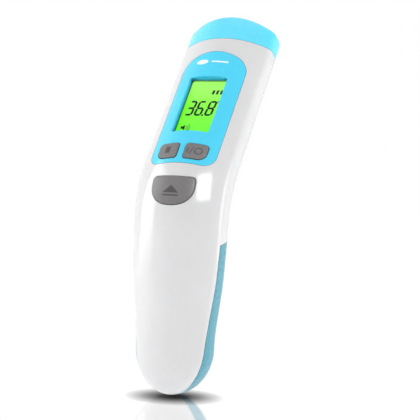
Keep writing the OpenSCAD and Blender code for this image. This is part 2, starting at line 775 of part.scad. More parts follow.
front_shell();
rear_shell();
battery_door();
head_cap();
fascia();
display_window();
lcd_gasket();
lcd_panel();
lcd_backlight();
lcd_frame();
lcd_strips();
mode_button();
power_button();
scan_button();
mode_plunger();
power_plunger();
scan_plunger();
tact_switches();
main_board();
board_chips();
key_board();
board_link();
buzzer();
nose_deck();
ear_probe();
probe_seal();
probe_window();
sensor_sleeve();
sensor_can();
sensor_window();
sensor_leads();
sensor_board();
sensor_flex();
batteries();
contact_bridge();
contact_positive();
contact_negative();
contact_springs();
lead_positive();
lead_negative();
housing_screws();
board_screws();
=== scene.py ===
"""Handheld ear thermometer: a grip standing on its rounded foot and a head that leans back.

It is shaped in millimetres and turned into metres when a piece is made. World axes: x runs
across, -y is the front (display and keys), +y the back, +z up, and the foot rests on z = 0.
Points on the body are (x, out, along): `along` is the distance up the body's bent axis, `out`
the distance from that axis towards the front. A straight frame "at ref" touches the axis there.
"""

import math

import bmesh
import bpy
import numpy as np
from mathutils import Matrix, Vector
from mathutils.bvhtree import BVHTree
from mathutils.interpolate import poly_3d_calc


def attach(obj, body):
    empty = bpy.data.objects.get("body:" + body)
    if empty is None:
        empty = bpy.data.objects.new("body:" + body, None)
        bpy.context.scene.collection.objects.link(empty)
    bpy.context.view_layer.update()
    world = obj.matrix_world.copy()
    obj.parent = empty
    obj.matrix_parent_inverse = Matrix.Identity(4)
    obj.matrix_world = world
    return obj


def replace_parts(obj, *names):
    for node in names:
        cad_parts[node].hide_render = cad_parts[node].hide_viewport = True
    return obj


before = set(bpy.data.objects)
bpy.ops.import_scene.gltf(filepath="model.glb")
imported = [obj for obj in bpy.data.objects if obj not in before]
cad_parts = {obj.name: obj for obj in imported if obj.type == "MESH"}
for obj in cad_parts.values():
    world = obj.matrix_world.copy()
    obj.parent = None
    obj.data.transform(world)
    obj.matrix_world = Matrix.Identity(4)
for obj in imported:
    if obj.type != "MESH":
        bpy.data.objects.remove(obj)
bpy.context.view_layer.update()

# ---------------------------------------------------------------- dimensions (millimetres)
BODY_LENGTH = 168.8
TILT = math.radians(34)          # lean of the head
BEND_START, BEND_RADIUS = 71.2, 40.0
BEND_END = BEND_START + BEND_RADIUS * TILT
BEND_MID = (BEND_START + BEND_END) / 2
FOOT_TOP = 19.0                  # below this the sections fan round the foot
GRIP, HEAD = 0.0, BEND_END       # where the straight frames of grip and head stand

NOSE_RADIUS = 2.2                # rounding of the upper end's rim
DOME, DOME_HALF_WIDTH = 2.6, 18  # drop of the upper end at that distance from the middle
SIDE_RADIUS = 50.0
MIN_CORNER = 0.4
WALL, CAP_WALL, DOOR_WALL = 2.0, 1.6, 1.5
GAP = 0.2                        # between neighbouring parts
CAP_START = 155.8
LCD_ALONG, LCD_OUT, LCD_WIDTH, LCD_HEIGHT = 120.7, 8.55, 17.0, 28.8
LCD_FACE = LCD_OUT - 0.95
KEY_PROUD = 0.5                  # keys above the skin
SCAN_ALONG = 81.5                # frame and stem of the scan button

# Station tables: (along, value)
HALF_WIDTH = [(FOOT_TOP, 17.0), (48.5, 19.8), (BEND_MID, 20.9), (BEND_MID + 35, 20.65),
              (BODY_LENGTH, 20.6)]
FRONT_DEPTH = [(FOOT_TOP, 9.6), (48.5, 11.35), (BEND_MID, 12.0), (BODY_LENGTH, 12.0)]
BACK_DEPTH = [(FOOT_TOP, 7.55), (48.5, 10.15), (BEND_MID, 12.8), (BODY_LENGTH, 12)]
FRONT_RADIUS = [(FOOT_TOP, 35.5), (76.5, 30), (168, 30)]
BACK_RADIUS = [(FOOT_TOP, 32.5), (48.5, 33), (80, 31.7), (168, 30.7)]
FRONT_CORNER = [(FOOT_TOP, 3.65), (BEND_MID - 8, 4.4), (BEND_MID + 15, 3.6), (168, 3.6)]
BACK_CORNER = [(FOOT_TOP, 4.4), (48.5, 6.2), (80, 8.6), (168, 8.3)]
FRONT = (FRONT_DEPTH, FRONT_RADIUS, FRONT_CORNER)
BACK = (BACK_DEPTH, BACK_RADIUS, BACK_CORNER)

# Mesh divisions
FACE_STEPS, CORNER_STEPS, SIDE_STEPS = 14, 7, 5
FOOT_STEPS = 56
ROWS = ([BODY_LENGTH - NOSE_RADIUS - 2.2 * i for i in range(2, 32)]
        + [BEND_START + (BEND_END - BEND_START) * i / 14 for i in range(14, -1, -1)]
        + [67.0, 62.5, 58, 53.5, 49, 44.5, 40, 36, 32, 28, 25, 22, FOOT_TOP])
ROWS = [row for i, row in enumerate(ROWS) if i == 0 or row < ROWS[i - 1] - 0.5]


# ---------------------------------------------------------------- axis and frames
def slope(table, i):
    """Slope at entry i: level at the first, one-sided at the last, central between."""
    if i == 0:
        return 0.0
    after = min(i + 1, len(table) - 1)
    return (table[after][1] - table[i - 1][1]) / (table[after][0] - table[i - 1][0])


def value_at(table, along):
    """Cubic reading of a station table, held constant outside it."""
    if along <= table[0][0]:
        return table[0][1]
    if along >= table[-1][0]:
        return table[-1][1]
    i = max(j for j in range(len(table) - 1) if along >= table[j][0])
    span = table[i + 1][0] - table[i][0]
    t = (along - table[i][0]) / span
    return ((2 * t ** 3 - 3 * t * t + 1) * table[i][1]
            + (t ** 3 - 2 * t * t + t) * span * slope(table, i)
            + (3 * t * t - 2 * t ** 3) * table[i + 1][1]
            + (t ** 3 - t * t) * span * slope(table, i + 1))


def lean(along):
    if along <= BEND_START:
        return 0.0
    return TILT if along >= BEND_END else (along - BEND_START) / BEND_RADIUS


def axis_point(along):
    """(y, z) of the bent axis."""
    if along <= BEND_START:
        return 0.0, along
    angle = lean(along)
    beyond = max(0.0, along - BEND_END)
    return (BEND_RADIUS * (1 - math.cos(angle)) + beyond * math.sin(TILT),
            BEND_START + BEND_RADIUS * math.sin(angle) + beyond * math.cos(TILT))


def side(out, along):
    """(y, z) of a body point."""
    y, z = axis_point(along)
    angle = lean(along)
    return y - out * math.cos(angle), z + out * math.sin(angle)


def place(x, out, along):
    return np.stack([x, *side(out, along)], axis=1)


def in_frame(points, ref):
    """World places of points (x, out, along) of the straight frame at ref."""
    points = np.asarray(points, float)
    y, z = axis_point(ref)
    angle = lean(ref)
    out, up = points[:, 1], points[:, 2] - ref
    return np.stack([points[:, 0], y + up * math.sin(angle) - out * math.cos(angle),
                     z + up * math.cos(angle) + out * math.sin(angle)], axis=1)


def arc(centre, radius, angles):
    return [(centre[0] + radius * math.cos(a), centre[1] + radius * math.sin(a)) for a in angles]


def sweep(start, end, steps):
    """Angles from start to end degrees, both included, in radians."""
    return [math.radians(start + (end - start) * i / steps) for i in range(steps + 1)]


def full_turn(steps):
    return [2 * math.pi * i / steps for i in range(steps)]


# ---------------------------------------------------------------- sections and loft of the body
def quarter(width, depth, face_radius, corner_radius, side_radius):
    """Three tangent arcs from the middle of a face round the corner to the side."""
    face_centre, side_centre = depth - face_radius, width - side_radius
    dx, dy = side_centre, -face_centre
    apart = math.hypot(dx, dy)
    face_reach, side_reach = face_radius - corner_radius, side_radius - corner_radius
    # the corner's centre lies where circles of these two reaches cross
    foot = (face_reach * face_reach - side_reach * side_reach + apart * apart) / (2 * apart)
    height = math.sqrt(max(0.0, face_reach * face_reach - foot * foot))
    mid_x, mid_y = dx * foot / apart, face_centre + dy * foot / apart
    unit_x, unit_y = -dy / apart, dx / apart
    corner = max((mid_x + unit_x * height, mid_y + unit_y * height),
                 (mid_x - unit_x * height, mid_y - unit_y * height), key=sum)
    top = math.pi / 2
    face_end = math.atan2(corner[1] - face_centre, corner[0])
    side_end = math.atan2(corner[1], corner[0] - side_centre)
    return np.array(
        arc((0, face_centre), face_radius,
            [top + (face_end - top) * i / FACE_STEPS for i in range(FACE_STEPS)])
        + arc(corner, corner_radius,
              [face_end + (side_end - face_end) * i / CORNER_STEPS for i in range(CORNER_STEPS)])
        + arc((side_centre, 0), side_radius,
              [side_end * (1 - i / SIDE_STEPS) for i in range(SIDE_STEPS + 1)]))


def half_section(width, side_radius, front, back):
    """Half outline from front to back; front and back are (depth, radius, corner)."""
    front_part = quarter(width, *front, side_radius)
    back_part = quarter(width, *back, side_radius)
    front_part[0, 0] = back_part[0, 0] = 0.0
    return np.concatenate([front_part, back_part[:-1][::-1] * (1, -1)])


def section(along, inset):
    def face(tables):
        depth, radius, corner = (value_at(table, along) - inset for table in tables)
        return depth, radius, max(corner, MIN_CORNER)

    return half_section(value_at(HALF_WIDTH, along) - inset, SIDE_RADIUS - inset,
                        face(FRONT), face(BACK))


def foot_width(turn):
    """Reach of the foot's rounded outline, turned from the side (0) towards straight down."""
    return ((abs(math.cos(turn)) / value_at(HALF_WIDTH, FOOT_TOP)) ** 1.85
            + (abs(math.sin(turn)) / (FOOT_TOP + 0.2)) ** 1.85) ** (-1 / 1.85)


def foot_section(turn, inset):
    sideways = math.cos(turn) ** 2
    down = 1 - sideways
    width = foot_width(turn) - inset

    def face(tables, low_radius, low_corner):
        depth, radius, corner = (value_at(table, FOOT_TOP) for table in tables)
        return (depth - inset, 1 / (sideways / radius + down / low_radius) - inset,
                max(corner * sideways + low_corner * down - inset, MIN_CORNER))

    points = half_section(width, SIDE_RADIUS - inset, face(FRONT, low_radius=200, low_corner=4.6),
                          face(BACK, low_radius=100, low_corner=5.6))
    points[:, 1] += 0.7 * down * (points[:, 0] / width) ** 2
    return points


def domed(points, along):
    """Places a section of the upper end, arched from side to side."""
    drop = DOME * (points[:, 0] / DOME_HALF_WIDTH) ** 2
    return in_frame(np.c_[points[:, 0], points[:, 1], along - drop], HEAD)


def loft(inset):
    """The whole body as a closed mesh, moved inwards by inset, with a flat foot."""
    radius = max(NOSE_RADIUS - inset, 0.05)
    rim_start = BODY_LENGTH - max(NOSE_RADIUS, inset + 0.05)
    rim = [(rim_start + radius * math.sin(a), inset + radius * (1 - math.cos(a)))
           for a in map(math.radians, (90, 78, 66, 54, 42, 30, 18, 6))]
    end = rim[0][0]
    half = [domed(section(*rim[0]) * scale, end) for scale in (0.25, 0.5, 0.75)]
    half += [domed(section(*row), row[0]) for row in rim]
    half += [place(*section(row, inset).T, row) for row in ROWS]
    foot = []
    for i in range(1, FOOT_STEPS):
        turn = math.pi * i / FOOT_STEPS
        x, out = foot_section(turn, inset).T
        foot.append(np.stack([x * math.cos(turn), -out, FOOT_TOP - x * math.sin(turn)], axis=1))
    rows = half + foot + [ring * (-1, 1, 1) for ring in half[::-1]]
    count, width = len(rows), len(rows[0])

    def vertex(row, i):
        """Both halves share the vertices on the middle plane; the foot's rows meet there."""
        if i in (0, width - 1):
            if row >= len(half) + FOOT_STEPS - 1:
                row = count - 1 - row
            row = min(row, len(half) - 1)
        return row * width + i

    verts = np.concatenate(rows + [[[0.0, *side(0.0, end)]]])
    verts[:, 2] = np.maximum(verts[:, 2], inset)
    centre = len(verts) - 1
    faces = []
    for k in range(count - 1):
        for i in range(width - 1):
            corners = []
            for v in (vertex(k + 1, i), vertex(k + 1, i + 1), vertex(k, i + 1), vertex(k, i)):
                if v not in corners:
                    corners.append(v)
            if len(corners) > 2:
                faces.append(corners)
    for i in range(width - 1):
        faces.append((vertex(0, i), vertex(0, i + 1), centre))
        faces.append((vertex(count - 1, i + 1), vertex(count - 1, i), centre))
    return drop_unused(verts, faces)


def drop_unused(verts, faces):
    used = np.unique(np.concatenate([np.array(face) for face in faces]))
    renumber = -np.ones(len(verts), int)
    renumber[used] = np.arange(len(used))
    return verts[used], [tuple(int(renumber[v]) for v in face) for face in faces]


# ---------------------------------------------------------------- solids as (vertices, faces)
def outward(verts, faces):
    """Turns the faces of a closed mesh outwards."""
    volume = 0.0
    for face in faces:
        for i in range(1, len(face) - 1):
            normal = np.cross(verts[face[i]], verts[face[i + 1]])
            volume += float(np.dot(verts[face[0]], normal))
    return verts, faces if volume > 0 else [face[::-1] for face in faces]


def rings_solid(rings, ref, first=None, last=None):
    """Closed solid through rings of frame points, ended by a point or by the ring's mean."""
    rings = [in_frame(ring, ref) for ring in rings]
    ends = [np.mean(ring, axis=0) if point is None else in_frame([point], ref)[0]
            for ring, point in ((rings[0], first), (rings[-1], last))]
    count = len(rings[0])
    start = len(rings) * count
    top = start - count
    faces = []
    for k in range(len(rings) - 1):
        for i in range(count):
            j = (i + 1) % count
            faces.append((k * count + i, k * count + j, (k + 1) * count + j, (k + 1) * count + i))
    for i in range(count):
        j = (i + 1) % count
        faces.append((start, j, i))
        faces.append((start + 1, top + i, top + j))
    return outward(np.concatenate(rings + [ends]), faces)


def prism(lower, upper):
    count = len(lower)
    faces = [tuple(range(count)), tuple(range(2 * count - 1, count - 1, -1))]
    faces += [(i, count + i, count + (i + 1) % count, (i + 1) % count) for i in range(count)]
    return outward(np.concatenate([lower, upper]), faces)


def prism_x(outline, half=45.0):
    """Prism along x of a (y, z) outline, which may be concave."""
    outline = np.asarray(outline, float)
    return prism(*(np.c_[np.full(len(outline), x), outline] for x in (-half, half)))


def level(points, out):
    """Frame points over (x, along) points, all at one height."""
    points = np.asarray(points, float)
    return np.c_[points[:, 0], np.full(len(points), out), points[:, 1]]


def extrude(outline, low, high, ref):
    """Prism of an (x, along) outline between two heights."""
    return prism(*(in_frame(level(outline, out), ref) for out in (low, high)))


def rectangle(left, right, start, end):
    return [(left, start), (right, start), (right, end), (left, end)]


def block(x, out, along, ref=GRIP):
    return extrude(rectangle(*x, *along), *out, ref)


def pin(x, along, radius, low, high, ref):
    return extrude(arc((x, along), radius, full_turn(40)), low, high, ref)


def joined(*parts):
    verts, faces, offset = [], [], 0
    for part_verts, part_faces in parts:
        verts.append(part_verts)
        faces += [tuple(v + offset for v in face) for face in part_faces]
        offset += len(part_verts)
    return np.concatenate(verts), faces


def shrunk(outline, distance):
    """Polygon with every edge moved inwards."""
    points = [np.array(p, float) for p in outline]
    count = len(points)
    following = points[1:] + points[:1]
    area = sum(p[0] * q[1] - q[0] * p[1] for p, q in zip(points, following))
    sign = 1 if area > 0 else -1
    moved = []
    for i in range(count):
        before, after = points[i] - points[i - 1], following[i] - points[i]
        before, after = before / np.linalg.norm(before), after / np.linalg.norm(after)
        normal_before = sign * np.array([-before[1], before[0]])
        normal_after = sign * np.array([-after[1], after[0]])
        scale = 1 + float(normal_before @ normal_after)
        moved.append(points[i] + distance * (normal_before + normal_after) / scale)
    return moved


def to_mesh(data, name, scale=1.0):
    verts, faces = data
    mesh = bpy.data.meshes.new(name)
    mesh.from_pydata((verts * scale).tolist(), [], faces)
    mesh.validate()
    mesh.update()
    return mesh


def new_object(name, data):
    obj = bpy.data.objects.new(name, data)
    bpy.context.scene.collection.objects.link(obj)
    return obj


def boolean(operation, base, tools):
    objects = [new_object("tmp", to_mesh(data, "tmp")) for data in (base, *tools)]
    for tool in objects[1:]:
        modifier = objects[0].modifiers.new("b", "BOOLEAN")
        modifier.operation = operation
        modifier.solver = "MANIFOLD"
        modifier.object = tool
    depsgraph = bpy.context.evaluated_depsgraph_get()
    result = bpy.data.meshes.new_from_object(objects[0].evaluated_get(depsgraph))
    verts = np.zeros(len(result.vertices) * 3)
    result.vertices.foreach_get("co", verts)
    faces = [tuple(p.vertices) for p in result.polygons]
    for obj in objects:
        mesh = obj.data
        bpy.data.objects.remove(obj)
        bpy.data.meshes.remove(mesh)
    bpy.data.meshes.remove(result)
    if not faces:
        raise RuntimeError("a boolean came out empty")
    return verts.reshape(-1, 3), faces


def meet(base, *tools):
    return boolean("INTERSECT", base, tools)


def cut(base, *tools):
    return boolean("DIFFERENCE", base, tools)


def union(base, *tools):
    return boolean("UNION", base, tools)


# ---------------------------------------------------------------- outlines in (x, along)
class Outline:
    """Closed outline with an outward normal at each point, so that it can grow and shrink."""

    def __init__(self, points, normals):
        self.points, self.normals = np.array(points), np.array(normals)

    def grow(self, distance):
        return self.points + self.normals * distance

    def grown(self, distance):
        return Outline(self.grow(distance), self.normals)

    def mirrored(self):
        return Outline((self.points * (-1, 1))[::-1], (self.normals * (-1, 1))[::-1])


def corner_outline(corners, step, arc_steps):
    """Arcs (x, along, radius, start, end in degrees) joined by straight lines."""
    points, normals = [], []
    for i, (x, along, radius, start, end) in enumerate(corners):
        for angle in sweep(start, end, arc_steps):
            normal = (math.cos(angle), math.sin(angle))
            points.append((x + radius * normal[0], along + radius * normal[1]))
            normals.append(normal)
        next_x, next_along, next_radius, next_start, _ = corners[(i + 1) % len(corners)]
        turn = math.radians(next_start)
        goal = (next_x + next_radius * math.cos(turn), next_along + next_radius * math.sin(turn))
        last = points[-1]
        parts = int(math.hypot(goal[0] - last[0], goal[1] - last[1]) / step)
        for k in range(1, parts):
            points.append((last[0] + (goal[0] - last[0]) * k / parts,
                           last[1] + (goal[1] - last[1]) * k / parts))
            normals.append(normal)
    return Outline(points, normals)


def rounded(x, along, radii, step=1.0, arc_steps=9):
    """Rounded rectangle; radii run from the lower left corner to right, up and left."""
    (left, right), (low, high) = x, along
    low_left, low_right, high_right, high_left = radii
    return corner_outline([(left + low_left, low + low_left, low_left, 180, 270),
                           (right - low_right, low + low_right, low_right, 270, 360),
                           (right - high_right, high - high_right, high_right, 0, 90),
                           (left + high_left, high - high_left, high_left, 90, 180)],
                          step, arc_steps)


def arched(half_width, low, high, low_radius, high_radius, top_radius):
    """Outline with an arched upper edge that runs into the upper corners."""
    half_angle = math.asin((half_width - high_radius) / (top_radius - high_radius))
    shoulder = high - top_radius + (top_radius - high_radius) * math.cos(half_angle)
    spread = math.degrees(half_angle)
    return corner_outline([(-half_width + low_radius, low + low_radius, low_radius, 180, 270),
                           (half_width - low_radius, low + low_radius, low_radius, 270, 360),
                           (half_width - high_radius, shoulder, high_radius, 0, 90 - spread),
                           (0, high - top_radius, top_radius, 90 - spread, 90 + spread),
                           (-half_width + high_radius, shoulder, high_radius, 90 + spread, 180)],
                          step=1.0, arc_steps=14)


def scan_outline():
    """Superellipse below, straight top edge with rounded corners above."""
    half_width, drop, centre, top, radius = 9.8, 8.2, 83.5, 87.3, 1.8
    power = 2 / 2.25

    def signed_power(value, exponent):
        return math.copysign(abs(value) ** exponent, value)

    points, normals = [], []
    for i in range(73):
        angle = math.pi + math.pi * i / 72
        cosine, sine = math.cos(angle), math.sin(angle)
        points.append((half_width * signed_power(cosine, power),
                       centre + drop * signed_power(sine, power)))
        normal = np.array([signed_power(cosine, 2 - power) / half_width,
                           signed_power(sine, 2 - power) / drop])
        normals.append(tuple(normal / np.linalg.norm(normal)))
    corner = half_width - radius
    for x, start in ((corner, 0), (-corner, 90)):
        angles = sweep(start, start + 90, 10)
        points += arc((x, top - radius), radius, angles)
        normals += [(math.cos(a), math.sin(a)) for a in angles]
        if start == 0:
            points += [(corner - 2 * corner * k / 18, top) for k in range(1, 18)]
            normals += [(0.0, 1.0)] * 17
    keep = [i for i in range(len(points)) if math.dist(points[i], points[i - 1]) > 0.02]
    return Outline(np.array(points)[keep], np.array(normals)[keep])


fascia_line = arched(half_width=15.1, low=89.6, high=148.7, low_radius=5.4, high_radius=8.6,
                     top_radius=24)
lcd_line = rounded(x=(-LCD_WIDTH / 2, LCD_WIDTH / 2),
                   along=(LCD_ALONG - LCD_HEIGHT / 2, LCD_ALONG + LCD_HEIGHT / 2),
                   radii=(0.6,) * 4, arc_steps=6)
key_right = rounded(x=(1.6, 11.15), along=(92.0, 99.3), radii=(1.1, 3.4, 1.3, 1.1), step=0.6)
key_left = key_right.mirrored()
scan_line = scan_outline()


# ---------------------------------------------------------------- shapes that follow the skin
def face_out(x, along, tables=FRONT):
    """Distance of the front or back face from the axis."""
    depth, radius = (value_at(table, along) for table in tables[:2])
    return depth - radius + math.sqrt(max(radius * radius - x * x, 0.0))


def front_out(x, along, ref):
    """Height of the front skin over (x, along) in the straight frame at ref."""
    start = min(ref, BEND_END)
    out = face_out(x, along)
    if ref >= BEND_END and along >= BEND_END:
        return out
    # the skin lies on the bend, so its station depends on its height
    for _ in range(4):
        out = face_out(x, start + BEND_RADIUS * math.asin((along - start) / (BEND_RADIUS + out)))
    return -BEND_RADIUS + math.sqrt((BEND_RADIUS + out) ** 2 - (along - start) ** 2)


def on_skin(points, ref, lift=0.0):
    return np.array([(x, front_out(x, along, ref) + lift, along) for x, along in points])


def round_edge(radius, steps=6):
    """(inset, drop) pairs of a quarter circle, from the side wall to the top."""
    return [(radius * (1 - math.cos(a)), radius * (1 - math.sin(a))) for a in sweep(0, 90, steps)]


def cover(line, ref, centre, edge, lift, rings):
    """Rings round the edge's (inset, drop) pairs and in over the skin, and the end point."""
    layers = [on_skin(line.grow(-inset), ref, lift - drop) for inset, drop in edge]
    inset, drop = edge[-1]
    base = line.grow(-inset)
    middle = np.array(centre, float)
    for k in range(1, rings):
        scale = 1 - k / rings
        layers.append(on_skin(middle + (base - middle) * scale, ref, lift - drop))
    return layers, on_skin([centre], ref, lift - drop)[0]


def flare_tool(line, ref, radius, low=None, depth=None, over=2.0):
    """Cutting tool that opens out at the skin; it starts at a low height or a depth under it."""
    rings = [on_skin(line.points, ref, -depth) if low is None else level(line.points, low)]
    for angle in sweep(0, 72, 6):
        spread, lift = radius * (1 - math.cos(angle)), -radius * (1 - math.sin(angle))
        rings.append(on_skin(line.grow(spread), ref, lift))
    rim = line.grow(spread + 0.15)
    rings += [on_skin(rim, ref, lift + 0.05), on_skin(rim, ref, over)]
    return rings_solid(rings, ref, np.mean(rings[0], axis=0), np.mean(rings[-1], axis=0))


# ---------------------------------------------------------------- zones of the parting lines
def smooth_line(points, steps=6):
    """Catmull-Rom curve through the points."""
    points = [np.array(p, float) for p in points]
    curve = []
    for i in range(len(points) - 1):
        before, start = points[max(i - 1, 0)], points[i]
        end, after = points[i + 1], points[min(i + 2, len(points) - 1)]
        for k in range(steps):
            t = k / steps
            curve.append(0.5 * (2 * start + (end - before) * t
                                + (2 * before - 5 * start + 4 * end - after) * t * t
                                + (3 * start - before - 3 * end + after) * t ** 3))
    return [tuple(p) for p in curve] + [tuple(points[-1])]


# Parting line of front shell and battery door: (out, along)
DOOR_SEAM = [(.5, -2), (1.4, -.6), (2.6, .6), (4.2, 2.2), (5.3, 4), (5.9, 6.5), (6, 9.5),
             (5.9, 13), (5.6, 19), (5.1, 27), (4.8, 36), (4.3, 46), (3.8, 56), (3.5, 62.2)]
BEND = BEND_END - BEND_START
CORNER, DOOR_FAR = side(-2, 63.8), side(-22, 70.8)   # ends of the seam above the door
low_seam = [side(*point) for point in smooth_line(DOOR_SEAM)]
high_seam = [CORNER] + [side(-2, BEND_START - 1 + (BEND + 2) * (i + 0.5) / 24) for i in range(24)]
high_seam.append(side(-2, CAP_START))
lip_bend = [BEND_START + BEND * i / 16 + 0.3 for i in range(17)]

# The far points only have to lie well outside the body.
front_zone = prism_x(shrunk(low_seam + high_seam + [side(45, CAP_START), (-70, 170), (-70, -8)],
                            GAP / 2))
rear_zone = prism_x(shrunk(high_seam + [side(-45, CAP_START), (70, 87.6), DOOR_FAR], GAP / 2))
door_zone = prism_x(shrunk(low_seam + [CORNER, DOOR_FAR, (60, 84.1), (60, -8)], GAP / 2))
lip_zone = prism_x(shrunk(
    [side(-0.6, 64.3)] + [side(-0.6, along) for along in lip_bend]
    + [side(-0.6, CAP_START - 2.6), side(-4, CAP_START - 2.6)]
    + [side(-4, along) for along in reversed(lip_bend)] + [side(-4, 69.2)], GAP / 2))

outer_body, inner_body = loft(0), loft(WALL)

# ---------------------------------------------------------------- front shell
POSTS = [(12.6, 102.5), (-12.6, 102.5), (0, 141.5)]              # board posts: (x, along)
BOSSES = [(12.5, 149.6, HEAD), (13.2, 79.0, 79.0)]               # (half spacing, along, ref)


def post_pins(radius, low, high):
    return [pin(x, along, radius, low, high, HEAD) for x, along in POSTS]


def boss_pins(radius, low, high):
    """Pins at the four housing screws."""
    return [pin(spacing * sign, along, radius, low, high, ref)
            for spacing, along, ref in BOSSES for sign in (-1, 1)]


def front_shell():
    wall = cut(meet(outer_body, front_zone), inner_body)
    posts = joined(*post_pins(radius=1.7, low=1.65, high=20),
                   *boss_pins(radius=2.6, low=-1.6, high=20))
    posts = meet(posts, meet(loft(1), front_zone))
    fascia_recess = cut(flare_tool(fascia_line, HEAD, radius=0.18, depth=1.4, over=12.0),
                        loft(1.2))
    bores = joined(*post_pins(radius=0.9, low=1, high=6.2),
                   *boss_pins(radius=1.15, low=-2, high=5.5))
    shell = cut(union(wall, posts), fascia_recess,
                extrude(lcd_line.grow(0.95), LCD_OUT - 3, 30, HEAD),
                extrude(key_left.grow(GAP), 2, 30, HEAD),
                extrude(key_right.grow(GAP), 2, 30, HEAD), bores)
    return cut(shell, flare_tool(scan_line.grown(GAP), SCAN_ALONG, radius=0.35, low=2))


# ---------------------------------------------------------------- rear shell with its tray
WIDE = (-30, 30)


def rear_shell():
    """Back of the head, with the bulkhead, the lip behind the seam and the battery tray."""
    tray_body, tray_hollow, boss_body = loft(WALL + .1), loft(WALL + .9), loft(1.4)
    wall = cut(meet(outer_body, rear_zone), inner_body)
    bosses = meet(joined(*boss_pins(radius=3.2, low=-20, high=-1.8)), meet(boss_body, rear_zone))
    bulkhead = prism_x([(-3, 62.5), (22, 71.2), (22, 72.9), (-3, 64.2)], 30)
    bulkhead = union(meet(bulkhead, tray_body), meet(bulkhead, boss_body, rear_zone))
    liner = cut(tray_body, tray_hollow)
    lip = union(meet(liner, lip_zone),
                meet(cut(loft(WALL - .4), tray_hollow), rear_zone, lip_zone))
    tray = meet(liner, block(x=WIDE, out=(-2, 30), along=(7.4, 65)))
    tray_ends = meet(joined(block(x=WIDE, out=(-4.4, 30), along=(7.3, 8.4)),
                            block(x=WIDE, out=(-4.8, 30), along=(59.4, 60.4))), tray_body)
    holes = joined(*boss_pins(radius=1.35, low=-20, high=0))
    head_recesses = joined(*boss_pins(radius=2.3, low=-20, high=-5.1))
    slots = joined(*[block(x=(9 * k - 1.2, 9 * k + 1.2), out=(3.6, 4.8), along=(58, 61))
                     for k in (-1, 1)])
    return cut(union(wall, bosses, bulkhead, lip, tray, tray_ends), holes, head_recesses, slots)


# ---------------------------------------------------------------- battery door
def door_rib(line, centre, lift=0.35, radius=0.3, depth=0.8):
    """A raised rib that follows the back of the grip."""
    def on_back(points, height):
        return np.array([(x, -(face_out(x, along, BACK) + height), along) for x, along in points])

    middle = np.array(centre, float)
    rings = [on_back(line.points, -depth)]
    rings += [on_back(line.grow(-inset), lift - drop) for inset, drop in round_edge(radius)]
    rings.append(on_back(middle + (line.grow(-radius) - middle) * 0.5, lift))
    return rings_solid(rings, GRIP, on_back([centre], -depth)[0], on_back([centre], lift)[0])


def battery_door():
    """Back and foot of the grip, cleared inside for the tray."""
    def edge(half_width):
        return half_width - WALL + 0.1

    def turned(turn):
        reach = edge(foot_width(turn))
        return reach * math.cos(turn), FOOT_TOP - reach * math.sin(turn)

    tray_line = ([(edge(value_at(HALF_WIDTH, s)), s) for s in np.arange(74, 19.5, -3.0)]
                 + [turned(turn) for turn in np.linspace(0.02, math.pi - 0.02, 49)]
                 + [(-edge(value_at(HALF_WIDTH, s)), s) for s in np.arange(20, 74.5, 3.0)])
    door = cut(meet(outer_body, door_zone), loft(DOOR_WALL), extrude(tray_line, -3, 12, GRIP))
    ribs = []
    for i in range(5):
        half, along = 6.5 - 0.5 * i, 50.8 + 2 * i
        ribs.append(door_rib(rounded(x=(-half, half), along=(along - 0.42, along + 0.42),
                                     radii=(0.4,) * 4, step=0.8), (0, along)))
    return union(door, joined(*ribs))


# ---------------------------------------------------------------- head cap
def head_cap():
    """Upper end of the body with the probe's hole, which is rounded at its mouth."""
    mouth_radius, lip = 5.55, 0.75
    hole = [(4.4, BODY_LENGTH - 5), (4.6, BODY_LENGTH - 4), (mouth_radius, BODY_LENGTH - 1.0)]
    hole += [(mouth_radius + lip * (1 - math.cos(a)), BODY_LENGTH - lip + lip * math.sin(a))
             for a in map(math.radians, (12, 30, 48, 66, 78))]
    hole.append((6.4, BODY_LENGTH + 1))
    rings = [[(x, out, along) for x, out in arc((0, -0.5), radius, full_turn(96))]
             for radius, along in hole]
    end = block(x=(-40, 40), out=(-40, 40), along=(CAP_START + GAP / 2, BODY_LENGTH + 5), ref=HEAD)
    return cut(meet(outer_body, end), loft(CAP_WALL), rings_solid(rings, HEAD))


# ---------------------------------------------------------------- fascia
def fascia_plate():
    centre, play, depth = (0, 119.3), 0.1, 1.3
    edge = [(play + inset, drop) for inset, drop in round_edge(0.28)]
    rings, top = cover(fascia_line, HEAD, centre, edge, lift=0.0, rings=26)
    rings.insert(0, on_skin(fascia_line.grow(-play), HEAD, -depth))
    plate = rings_solid(rings, HEAD, on_skin([centre], HEAD, -depth)[0], top)
    plate = cut(plate, loft(1.15))
    around_lcd = lcd_line.grow(0.8)
    skirt = rings_solid([level(around_lcd, LCD_OUT), on_skin(around_lcd, HEAD, -0.5)], HEAD)
    key_holes = [flare_tool(key.grown(GAP), HEAD, radius=0.3, low=2)
                 for key in (key_left, key_right)]
    return cut(union(plate, skirt), flare_tool(lcd_line, HEAD, radius=0.75, low=4), *key_holes)


# ---------------------------------------------------------------- buttons
def button(line, ref, centre, stem, rim, edge):
    """Cap with a rounded edge, a rim under the shell's wall and a round stem."""
    stem_end, stem_radius = 6.42, 1.7
    stem = np.array(stem, float)
    flange = line.grow(rim)
    spokes = flange - stem
    spokes = spokes / np.linalg.norm(spokes, axis=1)[:, None]
    stem_ring = stem + stem_radius * spokes
    rings = [level(stem_ring, stem_end), on_skin(stem_ring, ref, -WALL - 1),
             on_skin(flange, ref, -WALL - 1), on_skin(flange, ref, -WALL - 0.15),
             on_skin(line.points, ref, -WALL - 0.15),
             on_skin(line.points, ref, KEY_PROUD - edge - 0.02)]
    layers, top = cover(line, ref, centre, round_edge(edge, 8), lift=KEY_PROUD, rings=12)
    return rings_solid(rings + layers, ref, (stem[0], stem_end, stem[1]), top)


